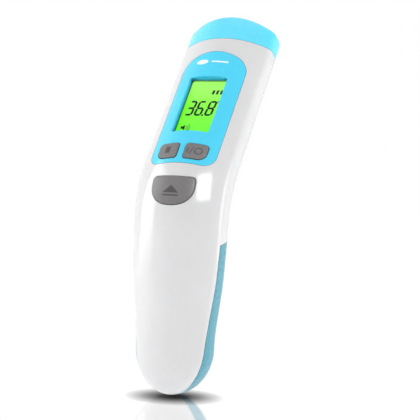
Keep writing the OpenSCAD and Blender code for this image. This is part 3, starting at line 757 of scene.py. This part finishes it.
def small_key(line, sign):
    return button(line, HEAD, centre=(6.35 * sign, 96.2), stem=(6.3 * sign, 96), rim=0.6,
                  edge=0.42)


# ---------------------------------------------------------------- printed marks
INK_LIFT = 0.012
FASCIA_INK = dict(ref=HEAD, lift=INK_LIFT)
KEY_INK = dict(ref=HEAD, lift=KEY_PROUD + INK_LIFT)
SCAN_INK = dict(ref=SCAN_ALONG, lift=KEY_PROUD + INK_LIFT)
LCD_INK = dict(ref=HEAD, lift=0.06, thick=0.05, flat=LCD_FACE)


def lay(points, ref, lift, flat):
    """Points on the skin, or at a flat height where one is given."""
    return on_skin(points, ref, lift) if flat is None else level(points, flat + lift)


def sheet(points, ref, lift, thick=0.03, flat=None):
    """Thin inlay over a convex outline."""
    points = np.array(points, float)
    centre = points.mean(axis=0)
    scales = (0.33, 0.67, 1)
    rings = [lay(centre + (points - centre) * scale, ref, height, flat)
             for height, order in ((lift - thick, scales), (lift, scales[::-1]))
             for scale in order]
    return rings_solid(rings, ref, lay([centre], ref, lift - thick, flat)[0],
                       lay([centre], ref, lift, flat)[0])


def stroke(points, width, ref, lift, thick=0.03, closed=False, flat=None):
    """Thin inlaid line through points."""
    points = np.array(points, float)
    count = len(points)
    left, right = [], []
    for i in range(count):
        before = points[i - 1] if closed or i > 0 else points[i]
        after = points[(i + 1) % count] if closed or i < count - 1 else points[i]
        run = (after - before) / np.linalg.norm(after - before)
        across = np.array([-run[1], run[0]]) * width / 2
        left.append(points[i] + across)
        right.append(points[i] - across)
    verts = np.concatenate([in_frame(lay(edge, ref, height, flat), ref) for edge, height in
                            ((left, lift - thick), (right, lift - thick),
                             (right, lift), (left, lift))])
    faces = []
    for i in range(count if closed else count - 1):
        j = (i + 1) % count
        for a, b in ((0, 1), (1, 2), (2, 3), (3, 0)):
            faces.append((a * count + i, b * count + i, b * count + j, a * count + j))
    if not closed:
        faces.append((3 * count, 2 * count, count, 0))
        faces.append((count - 1, 2 * count - 1, 3 * count - 1, 4 * count - 1))
    return outward(verts, faces)


def subdivide(points, step=0.5):
    fine = []
    for i in range(len(points)):
        start, end = (np.array(points[k % len(points)], float) for k in (i, i + 1))
        parts = max(1, int(np.linalg.norm(end - start) / step))
        fine += [tuple(start + (end - start) * k / parts) for k in range(parts)]
    return fine


# Digits: lower edge, height, width, bar thickness, end clearance, sideways slant per height
DIGIT_LOW, DIGIT_HIGH, DIGIT_WIDE, BAR, BAR_GAP, SLANT = 117.4, 7.0, 2.8, 1.0, 0.02, 0.12
# Ends of the seven bars: (x, height) in half heights
BAR_ENDS = {"a": ((0, 2), (1, 2)), "b": ((1, 2), (1, 1)), "c": ((1, 1), (1, 0)),
            "d": ((0, 0), (1, 0)), "e": ((0, 1), (0, 0)), "f": ((0, 2), (0, 1)),
            "g": ((0, 1), (1, 1))}


def digit(left, bars):
    """Convex bars of a seven-segment digit."""
    shapes = []
    for bar in bars:
        start, end = (np.array((x * DIGIT_WIDE, y * DIGIT_HIGH / 2)) for x, y in BAR_ENDS[bar])
        unit = (end - start) / np.linalg.norm(end - start)
        start, end = start + unit * BAR_GAP, end - unit * BAR_GAP
        run, across = unit * BAR / 2, np.array([-unit[1], unit[0]]) * BAR / 2
        corners = [start, start + run + across, end - run + across, end,
                   end - run - across, start + run - across]
        shapes.append([(left + x + SLANT * y, DIGIT_LOW + y) for x, y in corners])
    return shapes


def lcd_marks():
    shapes = digit(-7.1, "abcdg") + digit(-2.7, "acdefg") + digit(2.2, "abcdefg")
    # decimal point
    shapes.append([(0.65, 116.8), (1.5, 116.8), (1.6, 117.7), (0.75, 117.7)])
    degree_ring = stroke(arc((6.6, 124.3), 0.45, sweep(0, 350, 20)), 0.25, closed=True, **LCD_INK)
    # three slanted bars in the upper right
    bars = [[(x, 128.4), (x + 1.1, 128.4), (x + 1.35, 130.6), (x + 0.25, 130.6)]
            for x in (2.0, 3.9, 5.8)]
    # loudspeaker with three arcs in the lower left
    speaker = [rectangle(-6.9, -6.1, 110.0, 111.2),
               [(-6.1, 110.0), (-5.0, 109.2), (-5.0, 112.0), (-6.1, 111.2)]]
    waves = [stroke(arc((-5.6, 110.6), radius, sweep(-40, 40, 10)), 0.25, **LCD_INK)
             for radius in (1.3, 2.1, 2.9)]
    return joined(*[sheet(shape, **LCD_INK) for shape in shapes], degree_ring,
                  *[sheet(shape, **LCD_INK) for shape in bars + speaker], *waves)


def scan_mark():
    """Triangle over a bar."""
    return joined(sheet(subdivide([(-3.7, 80.1), (3.7, 80.1), (0, 83.4)]), **SCAN_INK),
                  sheet(subdivide(rectangle(-3.7, 3.7, 78.8, 79.4)), **SCAN_INK))


def power_mark():
    """Ring on the right and two strokes to its left."""
    return joined(stroke(arc((7.75, 95.7), 1.5, sweep(0, 350, 36)), 0.42, closed=True, **KEY_INK),
                  stroke([(3.1, 94.5), (3.2, 95.7), (3.3, 96.9)], 0.42, **KEY_INK),
                  stroke([(4.2, 94.0), (4.8, 95.7), (5.4, 97.4)], 0.36, **KEY_INK))


def mode_mark():
    return sheet(subdivide(rectangle(-7.5, -5.1, 94.2, 97.4), 0.4), **KEY_INK)


def fascia_mark():
    """Ellipse with a line on its right."""
    along = 142.9
    ellipse = [(-5.2 + 2.9 * math.cos(a), along + 1.25 * math.sin(a)) for a in full_turn(40)]
    return joined(sheet(ellipse, **FASCIA_INK),
                  stroke([(x, along) for x in np.linspace(-0.6, 7.0, 14)], 0.75, **FASCIA_INK))


# ---------------------------------------------------------------- shader helpers
def srgb(*rgb):
    """Linear colour from 0-255 components."""
    linear = [c / 12.92 if c <= 0.04045 else ((c + 0.055) / 1.055) ** 2.4
              for c in (value / 255 for value in rgb)]
    return (*linear, 1)


class NodeTree:
    def __init__(self, tree):
        self.tree = tree

    def put(self, node, key, value):
        """Links a socket to an input, or sets the input's value."""
        if isinstance(value, bpy.types.NodeSocket):
            self.tree.links.new(value, node.inputs[key])
        else:
            node.inputs[key].default_value = value

    def new(self, kind, *numbered, **named):
        node = self.tree.nodes.new("ShaderNode" + kind)
        for i, value in enumerate(numbered):
            self.put(node, i, value)
        for key, value in named.items():
            self.put(node, key.replace("_", " "), value)
        return node

    def calc(self, operation, *values, clamp=False):
        node = self.new("Math", *values)
        node.operation = operation
        node.use_clamp = clamp
        return node.outputs[0]

    def dot(self, first, second):
        node = self.new("VectorMath", first, second)
        node.operation = "DOT_PRODUCT"
        return node.outputs["Value"]

    def remap(self, value, span=(0.0, 1.0), to=(0.0, 1.0), smooth=False):
        node = self.new("MapRange", value, *span, *to)
        if smooth:
            node.interpolation_type = "SMOOTHSTEP"
        return node.outputs[0]

    def mix(self, factor, first, second, blend="MIX"):
        node = self.new("Mix", factor)
        node.data_type = "RGBA"
        node.blend_type = blend
        self.put(node, 6, first)      # inputs 6 and 7 are the colours A and B
        self.put(node, 7, second)
        return node.outputs[2]

    def ramp(self, value, stops):
        """Colour ramp; stops are (position, colour) from 0 to 1."""
        node = self.new("ValToRGB", value)
        elements = node.color_ramp.elements
        elements[0].color, elements[1].color = stops[0][1], stops[-1][1]
        for position, colour in stops[1:-1]:
            elements.new(position).color = colour
        return node.outputs[0]


MATERIALS = {}


class Surface(NodeTree):
    """A material's node tree, with textures in object coordinates (metres)."""

    def __init__(self, name):
        self.material = MATERIALS[name] = bpy.data.materials.new(name)
        self.material.use_nodes = True
        super().__init__(self.material.node_tree)
        self.bsdf = self.tree.nodes["Principled BSDF"]
        self.position = self.new("TexCoord").outputs["Object"]

    def set(self, **inputs):
        for key, value in inputs.items():
            self.put(self.bsdf, key.replace("_", " "), value)

    def base_colour(self):
        return self.bsdf.inputs["Base Color"].links[0].from_socket

    def output(self, shader):
        self.put(self.tree.nodes["Material Output"], "Surface", shader.outputs[0])

    def noise(self, scale, detail=3.0, rough=0.5, stretch=None):
        vector = self.position
        if stretch:
            vector = self.new("Mapping", Vector=vector, Scale=stretch).outputs[0]
        return self.new("TexNoise", Vector=vector, Scale=scale, Detail=detail,
                        Roughness=rough).outputs["Fac"]

    def rotated(self, angle):
        """Coordinates turned about x."""
        return self.new("Mapping", Vector=self.position, Rotation=(angle, 0, 0)).outputs[0]

    def component(self, axis, vector=None):
        return self.new("SeparateXYZ", Vector=vector or self.position).outputs[axis]

    def bump(self, height, strength, distance=0.00003, **normal):
        return self.new("Bump", Height=height, Strength=strength, Distance=distance,
                        **normal).outputs[0]

    def bevel(self, radius):
        node = self.new("Bevel", Radius=radius)
        node.samples = 4
        return node.outputs[0]


# ---------------------------------------------------------------- materials
def moulded(name, rgb, rough=0.38, grain=2600.0, grain_depth=0.10, vary=0.035, wear=0.10,
            wear_tint=(1, 1, 1, 1), coat=0.0, metal=0.0, sss=0.0, bevel=0.00018, spec=0.5,
            speck=0.0, stretch=None):
    """Surface with cloudy colour, fine grain, uneven gloss and worn or lighter edges.

    vary is the colour's spread, grain the fine noise's scale, speck the strength of dark dots
    and bevel the edge rounding in metres (0 where the edges are modelled).
    """
    k = Surface(name)
    cloud = k.noise(scale=55.0, detail=4.0, rough=0.55)
    mottle = k.noise(scale=420.0, detail=3.0, rough=0.6)
    fine = k.noise(scale=grain, detail=2.0, rough=0.6, stretch=stretch)
    base = Vector(srgb(*rgb)[:3])
    dark = (*(base * (1 - 1.6 * vary)), 1)
    light = (*(min(1, v) for v in base * (1 + 1.2 * vary)), 1)
    blend = k.calc("ADD", k.calc("MULTIPLY", cloud, 0.65), k.calc("MULTIPLY", mottle, 0.35))
    colour = k.mix(k.remap(blend, span=(0.32, 0.68), smooth=True), dark, light)
    if speck:
        dots = k.noise(scale=5200.0, detail=0.0)
        colour = k.mix(k.remap(dots, span=(0.66, 0.74), to=(0.0, speck), smooth=True), colour,
                       (*(base * 0.55), 1))
    if bevel:
        # edges: where a rounded normal departs from the true one
        facing = k.dot(k.bevel(bevel * 2.2), k.new("NewGeometry").outputs["Normal"])
        worn = k.remap(facing, span=(0.95, 0.78), smooth=True)
        patches = k.noise(scale=900.0, detail=4.0, rough=0.7)
        worn = k.calc("MULTIPLY", worn, k.remap(patches, span=(0.35, 0.65), to=(0.35, 1.0)))
    else:
        # rubbed patches instead of worn edges
        worn = k.calc("MULTIPLY", k.remap(cloud, span=(0.5, 0.8), smooth=True),
                      k.remap(mottle, span=(0.35, 0.7), to=(0.05, 0.2), smooth=True))
    colour = k.mix(k.calc("MULTIPLY", worn, wear), colour, wear_tint)
    uneven = k.calc("ADD",
                    k.remap(mottle, span=(0.3, 0.7), to=(rough - 0.045, rough + 0.045)),
                    k.calc("MULTIPLY", k.calc("SUBTRACT", cloud, 0.5), 0.12))
    roughness = k.calc("SUBTRACT", uneven, k.calc("MULTIPLY", worn, 0.08), clamp=True)
    k.set(Base_Color=colour, Roughness=roughness, Metallic=metal, Specular_IOR_Level=spec)
    if coat:
        k.set(Coat_Weight=coat, Coat_Roughness=0.12)
    if sss:
        k.set(Subsurface_Weight=sss, Subsurface_Radius=(0.6, 1.0, 1.0), Subsurface_Scale=0.0015)
    edge = {"Normal": k.bevel(bevel)} if bevel else {}
    waves = k.bump(cloud, strength=0.04, distance=0.0002, **edge)
    k.set(Normal=k.bump(fine, strength=grain_depth, Normal=waves))
    return k


def brushed(name, rgb, rough, stretch=(1, 1, 30)):
    """Metal with a grain drawn out along one axis."""
    moulded(name, rgb, rough=rough, grain=900.0, grain_depth=0.16, vary=0.12, wear=0.35,
            wear_tint=(0.95, 0.93, 0.88, 1), metal=1.0, bevel=0.0001, stretch=stretch)


def fascia_material():
    k = moulded("blue_fascia", (62, 211, 247), rough=0.24, vary=0.015, wear=0.15,
                wear_tint=srgb(160, 236, 250), coat=0.3, sss=0.05, grain_depth=0.04, bevel=0)
    # painted shade: darker in the recesses and the display's well, from ambient occlusion
    occlusion = k.new("AmbientOcclusion", Distance=0.0028)
    occlusion.samples = 8
    unshaded = k.remap(occlusion.outputs["AO"], span=(0.35, 0.9), smooth=True)
    k.set(Base_Color=k.mix(unshaded, srgb(28, 104, 130), k.base_colour()))


def board_material():
    k = moulded("board_green", (20, 104, 62), rough=0.35, vary=0.1, coat=0.35)
    # copper tracks that show through the solder mask
    tracks = k.new("TexBrick", Vector=k.rotated(math.radians(56)), Scale=260.0,
                   Color1=(0, 0, 0, 1), Color2=(0, 0, 0, 1), Mortar=(1, 1, 1, 1),
                   Mortar_Size=0.035).outputs["Color"]
    k.set(Base_Color=k.mix(k.calc("MULTIPLY", tracks, 0.5), k.base_colour(), srgb(70, 160, 92)))


def cell_material():
    """Battery wrap: dark jacket, copper band high on the left cell and low on the right one."""
    k = moulded("cell_wrap", (58, 74, 92), rough=0.3, vary=0.06, coat=0.4, grain_depth=0.04,
                wear=0.3, wear_tint=srgb(150, 160, 170))
    z, x = k.component("Z"), k.component("X")
    left = k.calc("LESS_THAN", x, 0.0)
    high = k.calc("GREATER_THAN", z, 0.0445)
    low = k.calc("LESS_THAN", z, 0.0233)
    band = k.calc("ADD", k.calc("MULTIPLY", left, high),
                  k.calc("MULTIPLY", k.calc("SUBTRACT", 1.0, left), low))
    k.set(Base_Color=k.mix(band, k.base_colour(), srgb(196, 120, 62)))


def lcd_material():
    """Lit display: green glow, paler at the top, faintly cloudy and grainy."""
    k = Surface("lcd_glass")

    def turned_height(along):
        """Height of a display point in the turned coordinates, in metres."""
        _, y, z = in_frame([(0, LCD_FACE, along)], HEAD)[0]
        return (y * math.sin(TILT) + z * math.cos(TILT)) / 1000

    height = k.remap(k.component("Z", k.rotated(TILT)),
                     span=(turned_height(LCD_ALONG - 14), turned_height(LCD_ALONG + 14)))
    glow = k.ramp(height, [(0, srgb(96, 250, 0)), (0.55, srgb(130, 255, 30)),
                           (1, srgb(172, 255, 104))])
    cloud = k.remap(k.noise(scale=140.0), span=(0.3, 0.7), to=(0.92, 1.04))
    dots = k.remap(k.noise(scale=4200.0, detail=1.0), span=(0.3, 0.7), to=(0.97, 1.03))
    grey = k.new("CombineColor", *[k.calc("MULTIPLY", cloud, dots) for _ in range(3)])
    colour = k.mix(1.0, glow, grey.outputs[0], blend="MULTIPLY")
    seen = k.new("LightPath").outputs["Is Camera Ray"]
    k.set(Base_Color=k.mix(0.85, colour, (0, 0, 0, 1)), Emission_Color=colour,
          Emission_Strength=k.remap(seen, to=(0.12, 0.96)),
          Roughness=k.remap(k.noise(scale=300.0), span=(0.3, 0.7), to=(0.25, 0.4)),
          Normal=k.bump(k.noise(scale=2600.0), strength=0.05))


def clear_material(name, tint, haze):
    """Clear sheet that reflects more at grazing angles; haze is its greatest roughness."""
    k = Surface(name)
    k.tree.nodes.remove(k.bsdf)
    clear = k.new("BsdfTransparent", Color=tint)
    gloss = k.new("BsdfGlossy",
                  Roughness=k.remap(k.noise(scale=320.0), span=(0.3, 0.7), to=(haze * 0.4, haze)),
                  Normal=k.bump(k.noise(scale=500.0), strength=0.03))
    grazing = k.calc("POWER", k.new("LayerWeight", Blend=0.5).outputs["Facing"], 4.0)
    share = k.calc("ADD", 0.012, k.calc("MULTIPLY", grazing, 0.3))
    k.output(k.new("MixShader", share, clear.outputs[0], gloss.outputs[0]))


moulded("white_shell", (215, 215, 216), rough=0.15, grain=3200, grain_depth=0.05, vary=0.015,
        wear=0.15, wear_tint=(0.95, 0.95, 0.95, 1), coat=0.15, sss=0.05, bevel=0)
# painted shade: the door is the cap's blue made darker and greyer, as it looks in shade
moulded("blue_door", (82, 153, 170), rough=0.28, vary=0.015, wear=0.2,
        wear_tint=srgb(150, 212, 226), coat=0.15, sss=0.03, bevel=0)
moulded("blue_cap", (86, 220, 252), rough=0.24, vary=0.02, wear=0.15,
        wear_tint=srgb(170, 240, 252), coat=0.5, sss=0.05, bevel=0)
fascia_material()
moulded("grey_key", (114, 112, 112), rough=0.5, grain=3800, grain_depth=0.16, vary=0.05,
        wear=0.25, wear_tint=srgb(190, 186, 186), speck=0.12, sss=0.02)
moulded("dark_grey_key", (112, 110, 111), rough=0.36, grain=3800, grain_depth=0.16, vary=0.05,
        wear=0.25, wear_tint=srgb(186, 182, 182), speck=0.12)
moulded("key_print", (62, 61, 61), rough=0.5, grain=4200, vary=0.08, bevel=0.00002)
moulded("fascia_print", (235, 250, 255), rough=0.4, grain=4200, vary=0.04, wear=0.05,
        bevel=0.00002)
moulded("black_foam", (34, 35, 38), rough=0.85, grain=1700, grain_depth=0.6, vary=0.3, wear=0.2,
        wear_tint=srgb(70, 70, 72))
moulded("light_guide", (236, 250, 224), rough=0.25, vary=0.04, sss=0.3)
moulded("frame_plastic", (232, 232, 228), rough=0.5, vary=0.05)
moulded("grey_elastomer", (92, 92, 96), rough=0.6, vary=0.12, grain=800, grain_depth=0.3,
        stretch=(1, 40, 1))
moulded("black_plastic", (44, 44, 46), rough=0.45, vary=0.15)
moulded("switch_body", (58, 58, 62), rough=0.4, vary=0.15, wear=0.2,
        wear_tint=srgb(120, 120, 122))
moulded("chip_black", (38, 38, 40), rough=0.55, vary=0.15, speck=0.2)
moulded("flex_amber", (196, 128, 44), rough=0.22, vary=0.1, coat=0.5, stretch=(12, 1, 1),
        grain=700, grain_depth=0.25)
brushed("brass_disc", (212, 176, 98), rough=0.3)
brushed("sleeve_brass", (206, 168, 92), rough=0.26)
brushed("can_steel", (202, 203, 206), rough=0.22)
brushed("gold_pins", (226, 188, 104), rough=0.25)
brushed("nickel_plate", (206, 204, 198), rough=0.24, stretch=(20, 1, 1))
brushed("spring_steel", (188, 188, 186), rough=0.25)
brushed("screw_steel", (150, 151, 156), rough=0.3)
moulded("probe_plastic", (228, 232, 236), rough=0.3, vary=0.02, wear=0.2, coat=0.2, sss=0.08)
moulded("black_rubber", (40, 41, 43), rough=0.62, vary=0.2, grain=2400, grain_depth=0.3)
moulded("filter_dark", (34, 30, 52), rough=0.08, vary=0.1, coat=1.0, grain_depth=0.02)
moulded("wire_red", (190, 26, 24), rough=0.35, vary=0.1, coat=0.2)
moulded("wire_black", (28, 28, 30), rough=0.4, vary=0.2, coat=0.2)
board_material()
cell_material()
lcd_material()
moulded("lcd_print", (6, 9, 5), rough=0.6, spec=0.15, grain=4000, vary=0.2, bevel=0.00001,
        wear=0.0)
clear_material("clear_window", tint=(0.96, 1, 0.98, 1), haze=0.05)
clear_material("probe_film", tint=(0.78, 0.84, 0.9, 1), haze=0.12)

NODE_MATERIALS = {
    "front_shell": "white_shell", "rear_shell": "white_shell", "battery_door": "blue_door",
    "head_cap": "blue_cap", "fascia": "blue_fascia", "display_window": "clear_window",
    "lcd_gasket": "black_foam", "lcd_panel": "lcd_glass", "lcd_backlight": "light_guide",
    "lcd_frame": "frame_plastic", "lcd_strips": "grey_elastomer", "mode_button": "grey_key",
    "power_button": "grey_key", "scan_button": "dark_grey_key",
    "mode_plunger": "black_plastic", "power_plunger": "black_plastic",
    "scan_plunger": "black_plastic", "tact_switches": "switch_body",
    "main_board": "board_green", "board_chips": "chip_black", "key_board": "board_green",
    "board_link": "flex_amber", "buzzer": "brass_disc", "nose_deck": "probe_plastic",
    "ear_probe": "probe_plastic", "probe_seal": "black_rubber", "probe_window": "probe_film",
    "sensor_sleeve": "sleeve_brass", "sensor_can": "can_steel",
    "sensor_window": "filter_dark", "sensor_leads": "gold_pins",
    "sensor_board": "board_green", "sensor_flex": "flex_amber", "batteries": "cell_wrap",
    "contact_bridge": "nickel_plate", "contact_positive": "nickel_plate",
    "contact_negative": "nickel_plate", "contact_springs": "spring_steel",
    "lead_positive": "wire_red", "lead_negative": "wire_black",
    "housing_screws": "screw_steel", "board_screws": "screw_steel"}
for name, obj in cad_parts.items():
    material = MATERIALS[NODE_MATERIALS[name]]
    if not obj.material_slots:
        obj.data.materials.append(material)
    for slot in obj.material_slots:
        slot.material = material


# ---------------------------------------------------------------- pieces
class Skin:
    """Smooth normals of a lofted skin, looked up by nearest point."""

    def __init__(self, data):
        mesh = to_mesh(data, "skin")
        self.verts = [v.co.copy() for v in mesh.vertices]
        self.normals = [n.vector.copy() for n in mesh.vertex_normals]
        self.faces = [tuple(p.vertices) for p in mesh.polygons]
        self.tree = BVHTree.FromPolygons(self.verts, self.faces)
        bpy.data.meshes.remove(mesh)

    def at(self, point, limit):
        """(normal, distance) of the nearest place, or None beyond the limit."""
        nearest, _, i, distance = self.tree.find_nearest(point)
        if i is None or distance > limit:
            return None
        face = self.faces[i]
        normal = Vector((0, 0, 0))
        for weight, v in zip(poly_3d_calc([self.verts[v] for v in face], nearest), face):
            normal += self.normals[v] * weight
        return normal.normalized(), distance


outer_skin = Skin(outer_body)


def clean(mesh):
    """Closes up slivers left by the cuts, as far as the mesh stays closed."""
    for distance in (8e-6, 4e-6, 2e-6, 1e-6):
        bm = bmesh.new()
        bm.from_mesh(mesh)
        bmesh.ops.remove_doubles(bm, verts=bm.verts, dist=distance)
        bmesh.ops.dissolve_degenerate(bm, dist=distance, edges=bm.edges)
        closed = all(len(edge.link_faces) == 2 for edge in bm.edges)
        if closed:
            bm.to_mesh(mesh)
        bm.free()
        if closed:
            return


def polish(mesh):
    """Gives faces that lie on the outer skin its own smooth normals."""
    near = [outer_skin.at(v.co * 1000, limit=0.15) for v in mesh.vertices]
    normals = [tuple(c.vector) for c in mesh.corner_normals]
    aligned = math.cos(math.radians(14.0))
    for face in mesh.polygons:
        found = [near[v] for v in face.vertices]
        on_it = all(hit is not None for hit in found)
        tight = on_it and all(hit[1] < 0.04 for hit in found)
        tiny = on_it and face.area < 2.5e-8
        for i in face.loop_indices:
            hit = near[mesh.loops[i].vertex_index]
            if hit is None:
                continue
            agreement = hit[0].dot(face.normal)
            if (agreement > aligned and hit[1] < 0.1) or (tight and agreement > 0.3) or tiny:
                normals[i] = tuple(hit[0])
    mesh.normals_split_custom_set(normals)


def add_piece(name, data, material, body, skin=False):
    mesh = to_mesh(data, name, 0.001)
    mesh.materials.append(MATERIALS[material])
    piece = new_object(name, mesh)
    if skin:
        clean(mesh)
    mesh.shade_smooth()
    mesh.set_sharp_from_angle(angle=math.radians(28.0))
    if skin:
        polish(mesh)
    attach(piece, body)
    return piece


def refine(node, data, body, skin=False):
    """Adds a piece that takes the place of a CAD node and wears its material."""
    material = NODE_MATERIALS[node]
    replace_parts(add_piece(node + "_fine", data, material, body, skin), node)


refine("front_shell", front_shell(), "body", skin=True)
refine("rear_shell", rear_shell(), "body", skin=True)
refine("battery_door", battery_door(), "door", skin=True)
refine("head_cap", head_cap(), "cap", skin=True)
refine("fascia", fascia_plate(), "body", skin=True)
refine("mode_button", small_key(key_left, -1), "mode_key")
refine("power_button", small_key(key_right, 1), "power_key")
refine("scan_button", button(scan_line, SCAN_ALONG, centre=(0, 82.4), stem=(0, SCAN_ALONG),
                             rim=0.5, edge=0.5), "scan_key")
add_piece("mode_mark", mode_mark(), "key_print", "mode_key")
add_piece("power_mark", power_mark(), "key_print", "power_key")
add_piece("scan_mark", scan_mark(), "key_print", "scan_key")
add_piece("lcd_marks", lcd_marks(), "lcd_print", "body")
add_piece("fascia_mark", fascia_mark(), "fascia_print", "body")

# ---------------------------------------------------------------- stage (metres)
AZIMUTH, ROLL, DISTANCE = math.radians(27), math.radians(2.3), 0.7   # of the camera
RIGHTWARD = (math.cos(AZIMUTH), math.sin(AZIMUTH), 0)                # in its view
TO_CAMERA = (math.sin(AZIMUTH), -math.cos(AZIMUTH), 0)
TARGET = Vector((0, 0.010, 0.0805))


def floor_material():
    """White paper with a soft elliptical contact shade under the foot."""
    k = Surface("floor_paper")

    def across(direction, size, centre):
        """Distance from the shade's centre in one direction, over the shade's size."""
        return k.calc("SUBTRACT", k.dot(k.position, tuple(v / size for v in direction)),
                      centre / size)

    wide = across(RIGHTWARD, size=0.0205, centre=0.0)
    deep = across(TO_CAMERA, size=0.030, centre=0.0105)
    far = k.calc("SQRT", k.calc("ADD", k.calc("MULTIPLY", wide, wide),
                                k.calc("MULTIPLY", deep, deep)))
    # (share of the shade's size, brightness)
    fade = [(0, 0.012), (0.28, 0.07), (0.5, 0.26), (0.6, 0.38), (0.75, 0.6), (0.89, 0.8), (1, 1)]
    shade = k.ramp(k.remap(far), [(at, (grey, grey, grey, 1)) for at, grey in fade])
    paper = k.mix(k.remap(k.noise(scale=9.0, detail=4.0), span=(0.3, 0.7)),
                  (0.9, 0.9, 0.905, 1), (0.93, 0.93, 0.93, 1))
    k.set(Base_Color=paper, Emission_Color=(1, 1, 1, 1), Emission_Strength=0.28, Roughness=0.5,
          Specular_IOR_Level=0.2,
          Normal=k.bump(k.noise(scale=900.0), strength=0.01, distance=0.0001))
    # what the camera sees of it: evenly bright except for the painted contact shadow, a little
    # glossy near the foot
    lit = k.new("Emission", Color=shade, Strength=1.02)
    gloss = k.new("BsdfGlossy", Color=shade, Roughness=0.07)
    near = k.remap(far, span=(1.0, 16.0), to=(0.62, 0.0), smooth=True)
    seen = k.new("MixShader", near, lit.outputs[0], gloss.outputs[0])
    k.output(k.new("MixShader", k.new("LightPath").outputs["Is Camera Ray"],
                   k.bsdf.outputs[0], seen.outputs[0]))
    return k.material


def add_floor():
    half, z = 12, -0.00002
    mesh = bpy.data.meshes.new("floor")
    mesh.from_pydata([(-half, -half, z), (half, -half, z), (half, half, z), (-half, half, z)],
                     [], [(0, 1, 2, 3)])
    floor = new_object("floor", mesh)
    mesh.materials.append(floor_material())


def add_camera():
    data = bpy.data.cameras.new("camera")
    camera = new_object("camera", data)
    right, up, back = Vector(RIGHTWARD), Vector((0, 0, 1)), Vector(TO_CAMERA)
    pose = Matrix((right * math.cos(ROLL) + up * math.sin(ROLL),
                   -right * math.sin(ROLL) + up * math.cos(ROLL), back)).transposed().to_4x4()
    pose.translation = TARGET + back * DISTANCE
    camera.matrix_world = pose
    data.sensor_width = 36.0
    data.lens = 142.8
    data.shift_x = 0.0402381
    data.shift_y = -0.0239286
    data.clip_end = 20
    bpy.context.scene.camera = camera
    return camera


def add_light(name, position, look, power, size, size_y=None):
    data = bpy.data.lights.new(name, "AREA")
    data.energy, data.size = power, size
    if size_y:
        data.shape, data.size_y = "RECTANGLE", size_y
    light = new_object(name, data)
    position = Vector(position)
    pose = (look - position).to_track_quat("-Z", "Y").to_matrix().to_4x4()
    pose.translation = position
    light.matrix_world = pose
    return light


def add_softbox(camera):
    """Small softbox seen only as a highlight beside the scan button."""
    x, along, step = 13.2, 83.6, 0.2

    def skin_point(x, along):
        return np.array([x, *side(face_out(x, along), along)])

    sideways = Vector(skin_point(x + step, along) - skin_point(x - step, along))
    upwards = Vector(skin_point(x, along + step) - skin_point(x, along - step))
    normal = sideways.cross(upwards).normalized()
    spot = Vector(skin_point(x, along)) / 1000
    view = (camera.matrix_world.translation - spot).normalized()
    mirrored = (normal * 2 * normal.dot(view) - view).normalized()
    softbox = add_light("softbox", spot + mirrored * 0.8, spot, power=3.4, size=0.3, size_y=0.36)
    softbox.visible_diffuse = False
    softbox.visible_camera = False


def set_world():
    """White surroundings; the light they shed on matt surfaces is stronger from the sides."""
    world = bpy.data.worlds.new("studio")
    bpy.context.scene.world = world
    world.use_nodes = True
    k = NodeTree(world.node_tree)
    sideways = k.dot(k.new("TexCoord").outputs["Generated"], RIGHTWARD)
    sides = k.remap(k.calc("ABSOLUTE", sideways), span=(0.25, 1.0), to=(0.585, 1.0))
    is_diffuse = k.new("LightPath").outputs["Is Diffuse Ray"]
    background = k.tree.nodes["Background"]
    k.put(background, "Color", (1, 1, 1, 1))
    k.put(background, "Strength", k.remap(is_diffuse, to=(1.0, sides)))


add_floor()
camera = add_camera()
add_light("left", (-0.85, -0.30, 0.35), TARGET, power=3.8, size=0.5, size_y=0.7)
add_light("right", (0.85, 0.05, 0.2), TARGET, power=3.0, size=0.4, size_y=0.7)
add_light("top", (0.0, 0.15, 1.05), TARGET, power=1.0, size=0.8)
add_softbox(camera)
set_world()
bpy.context.scene.view_settings.view_transform = "Standard"
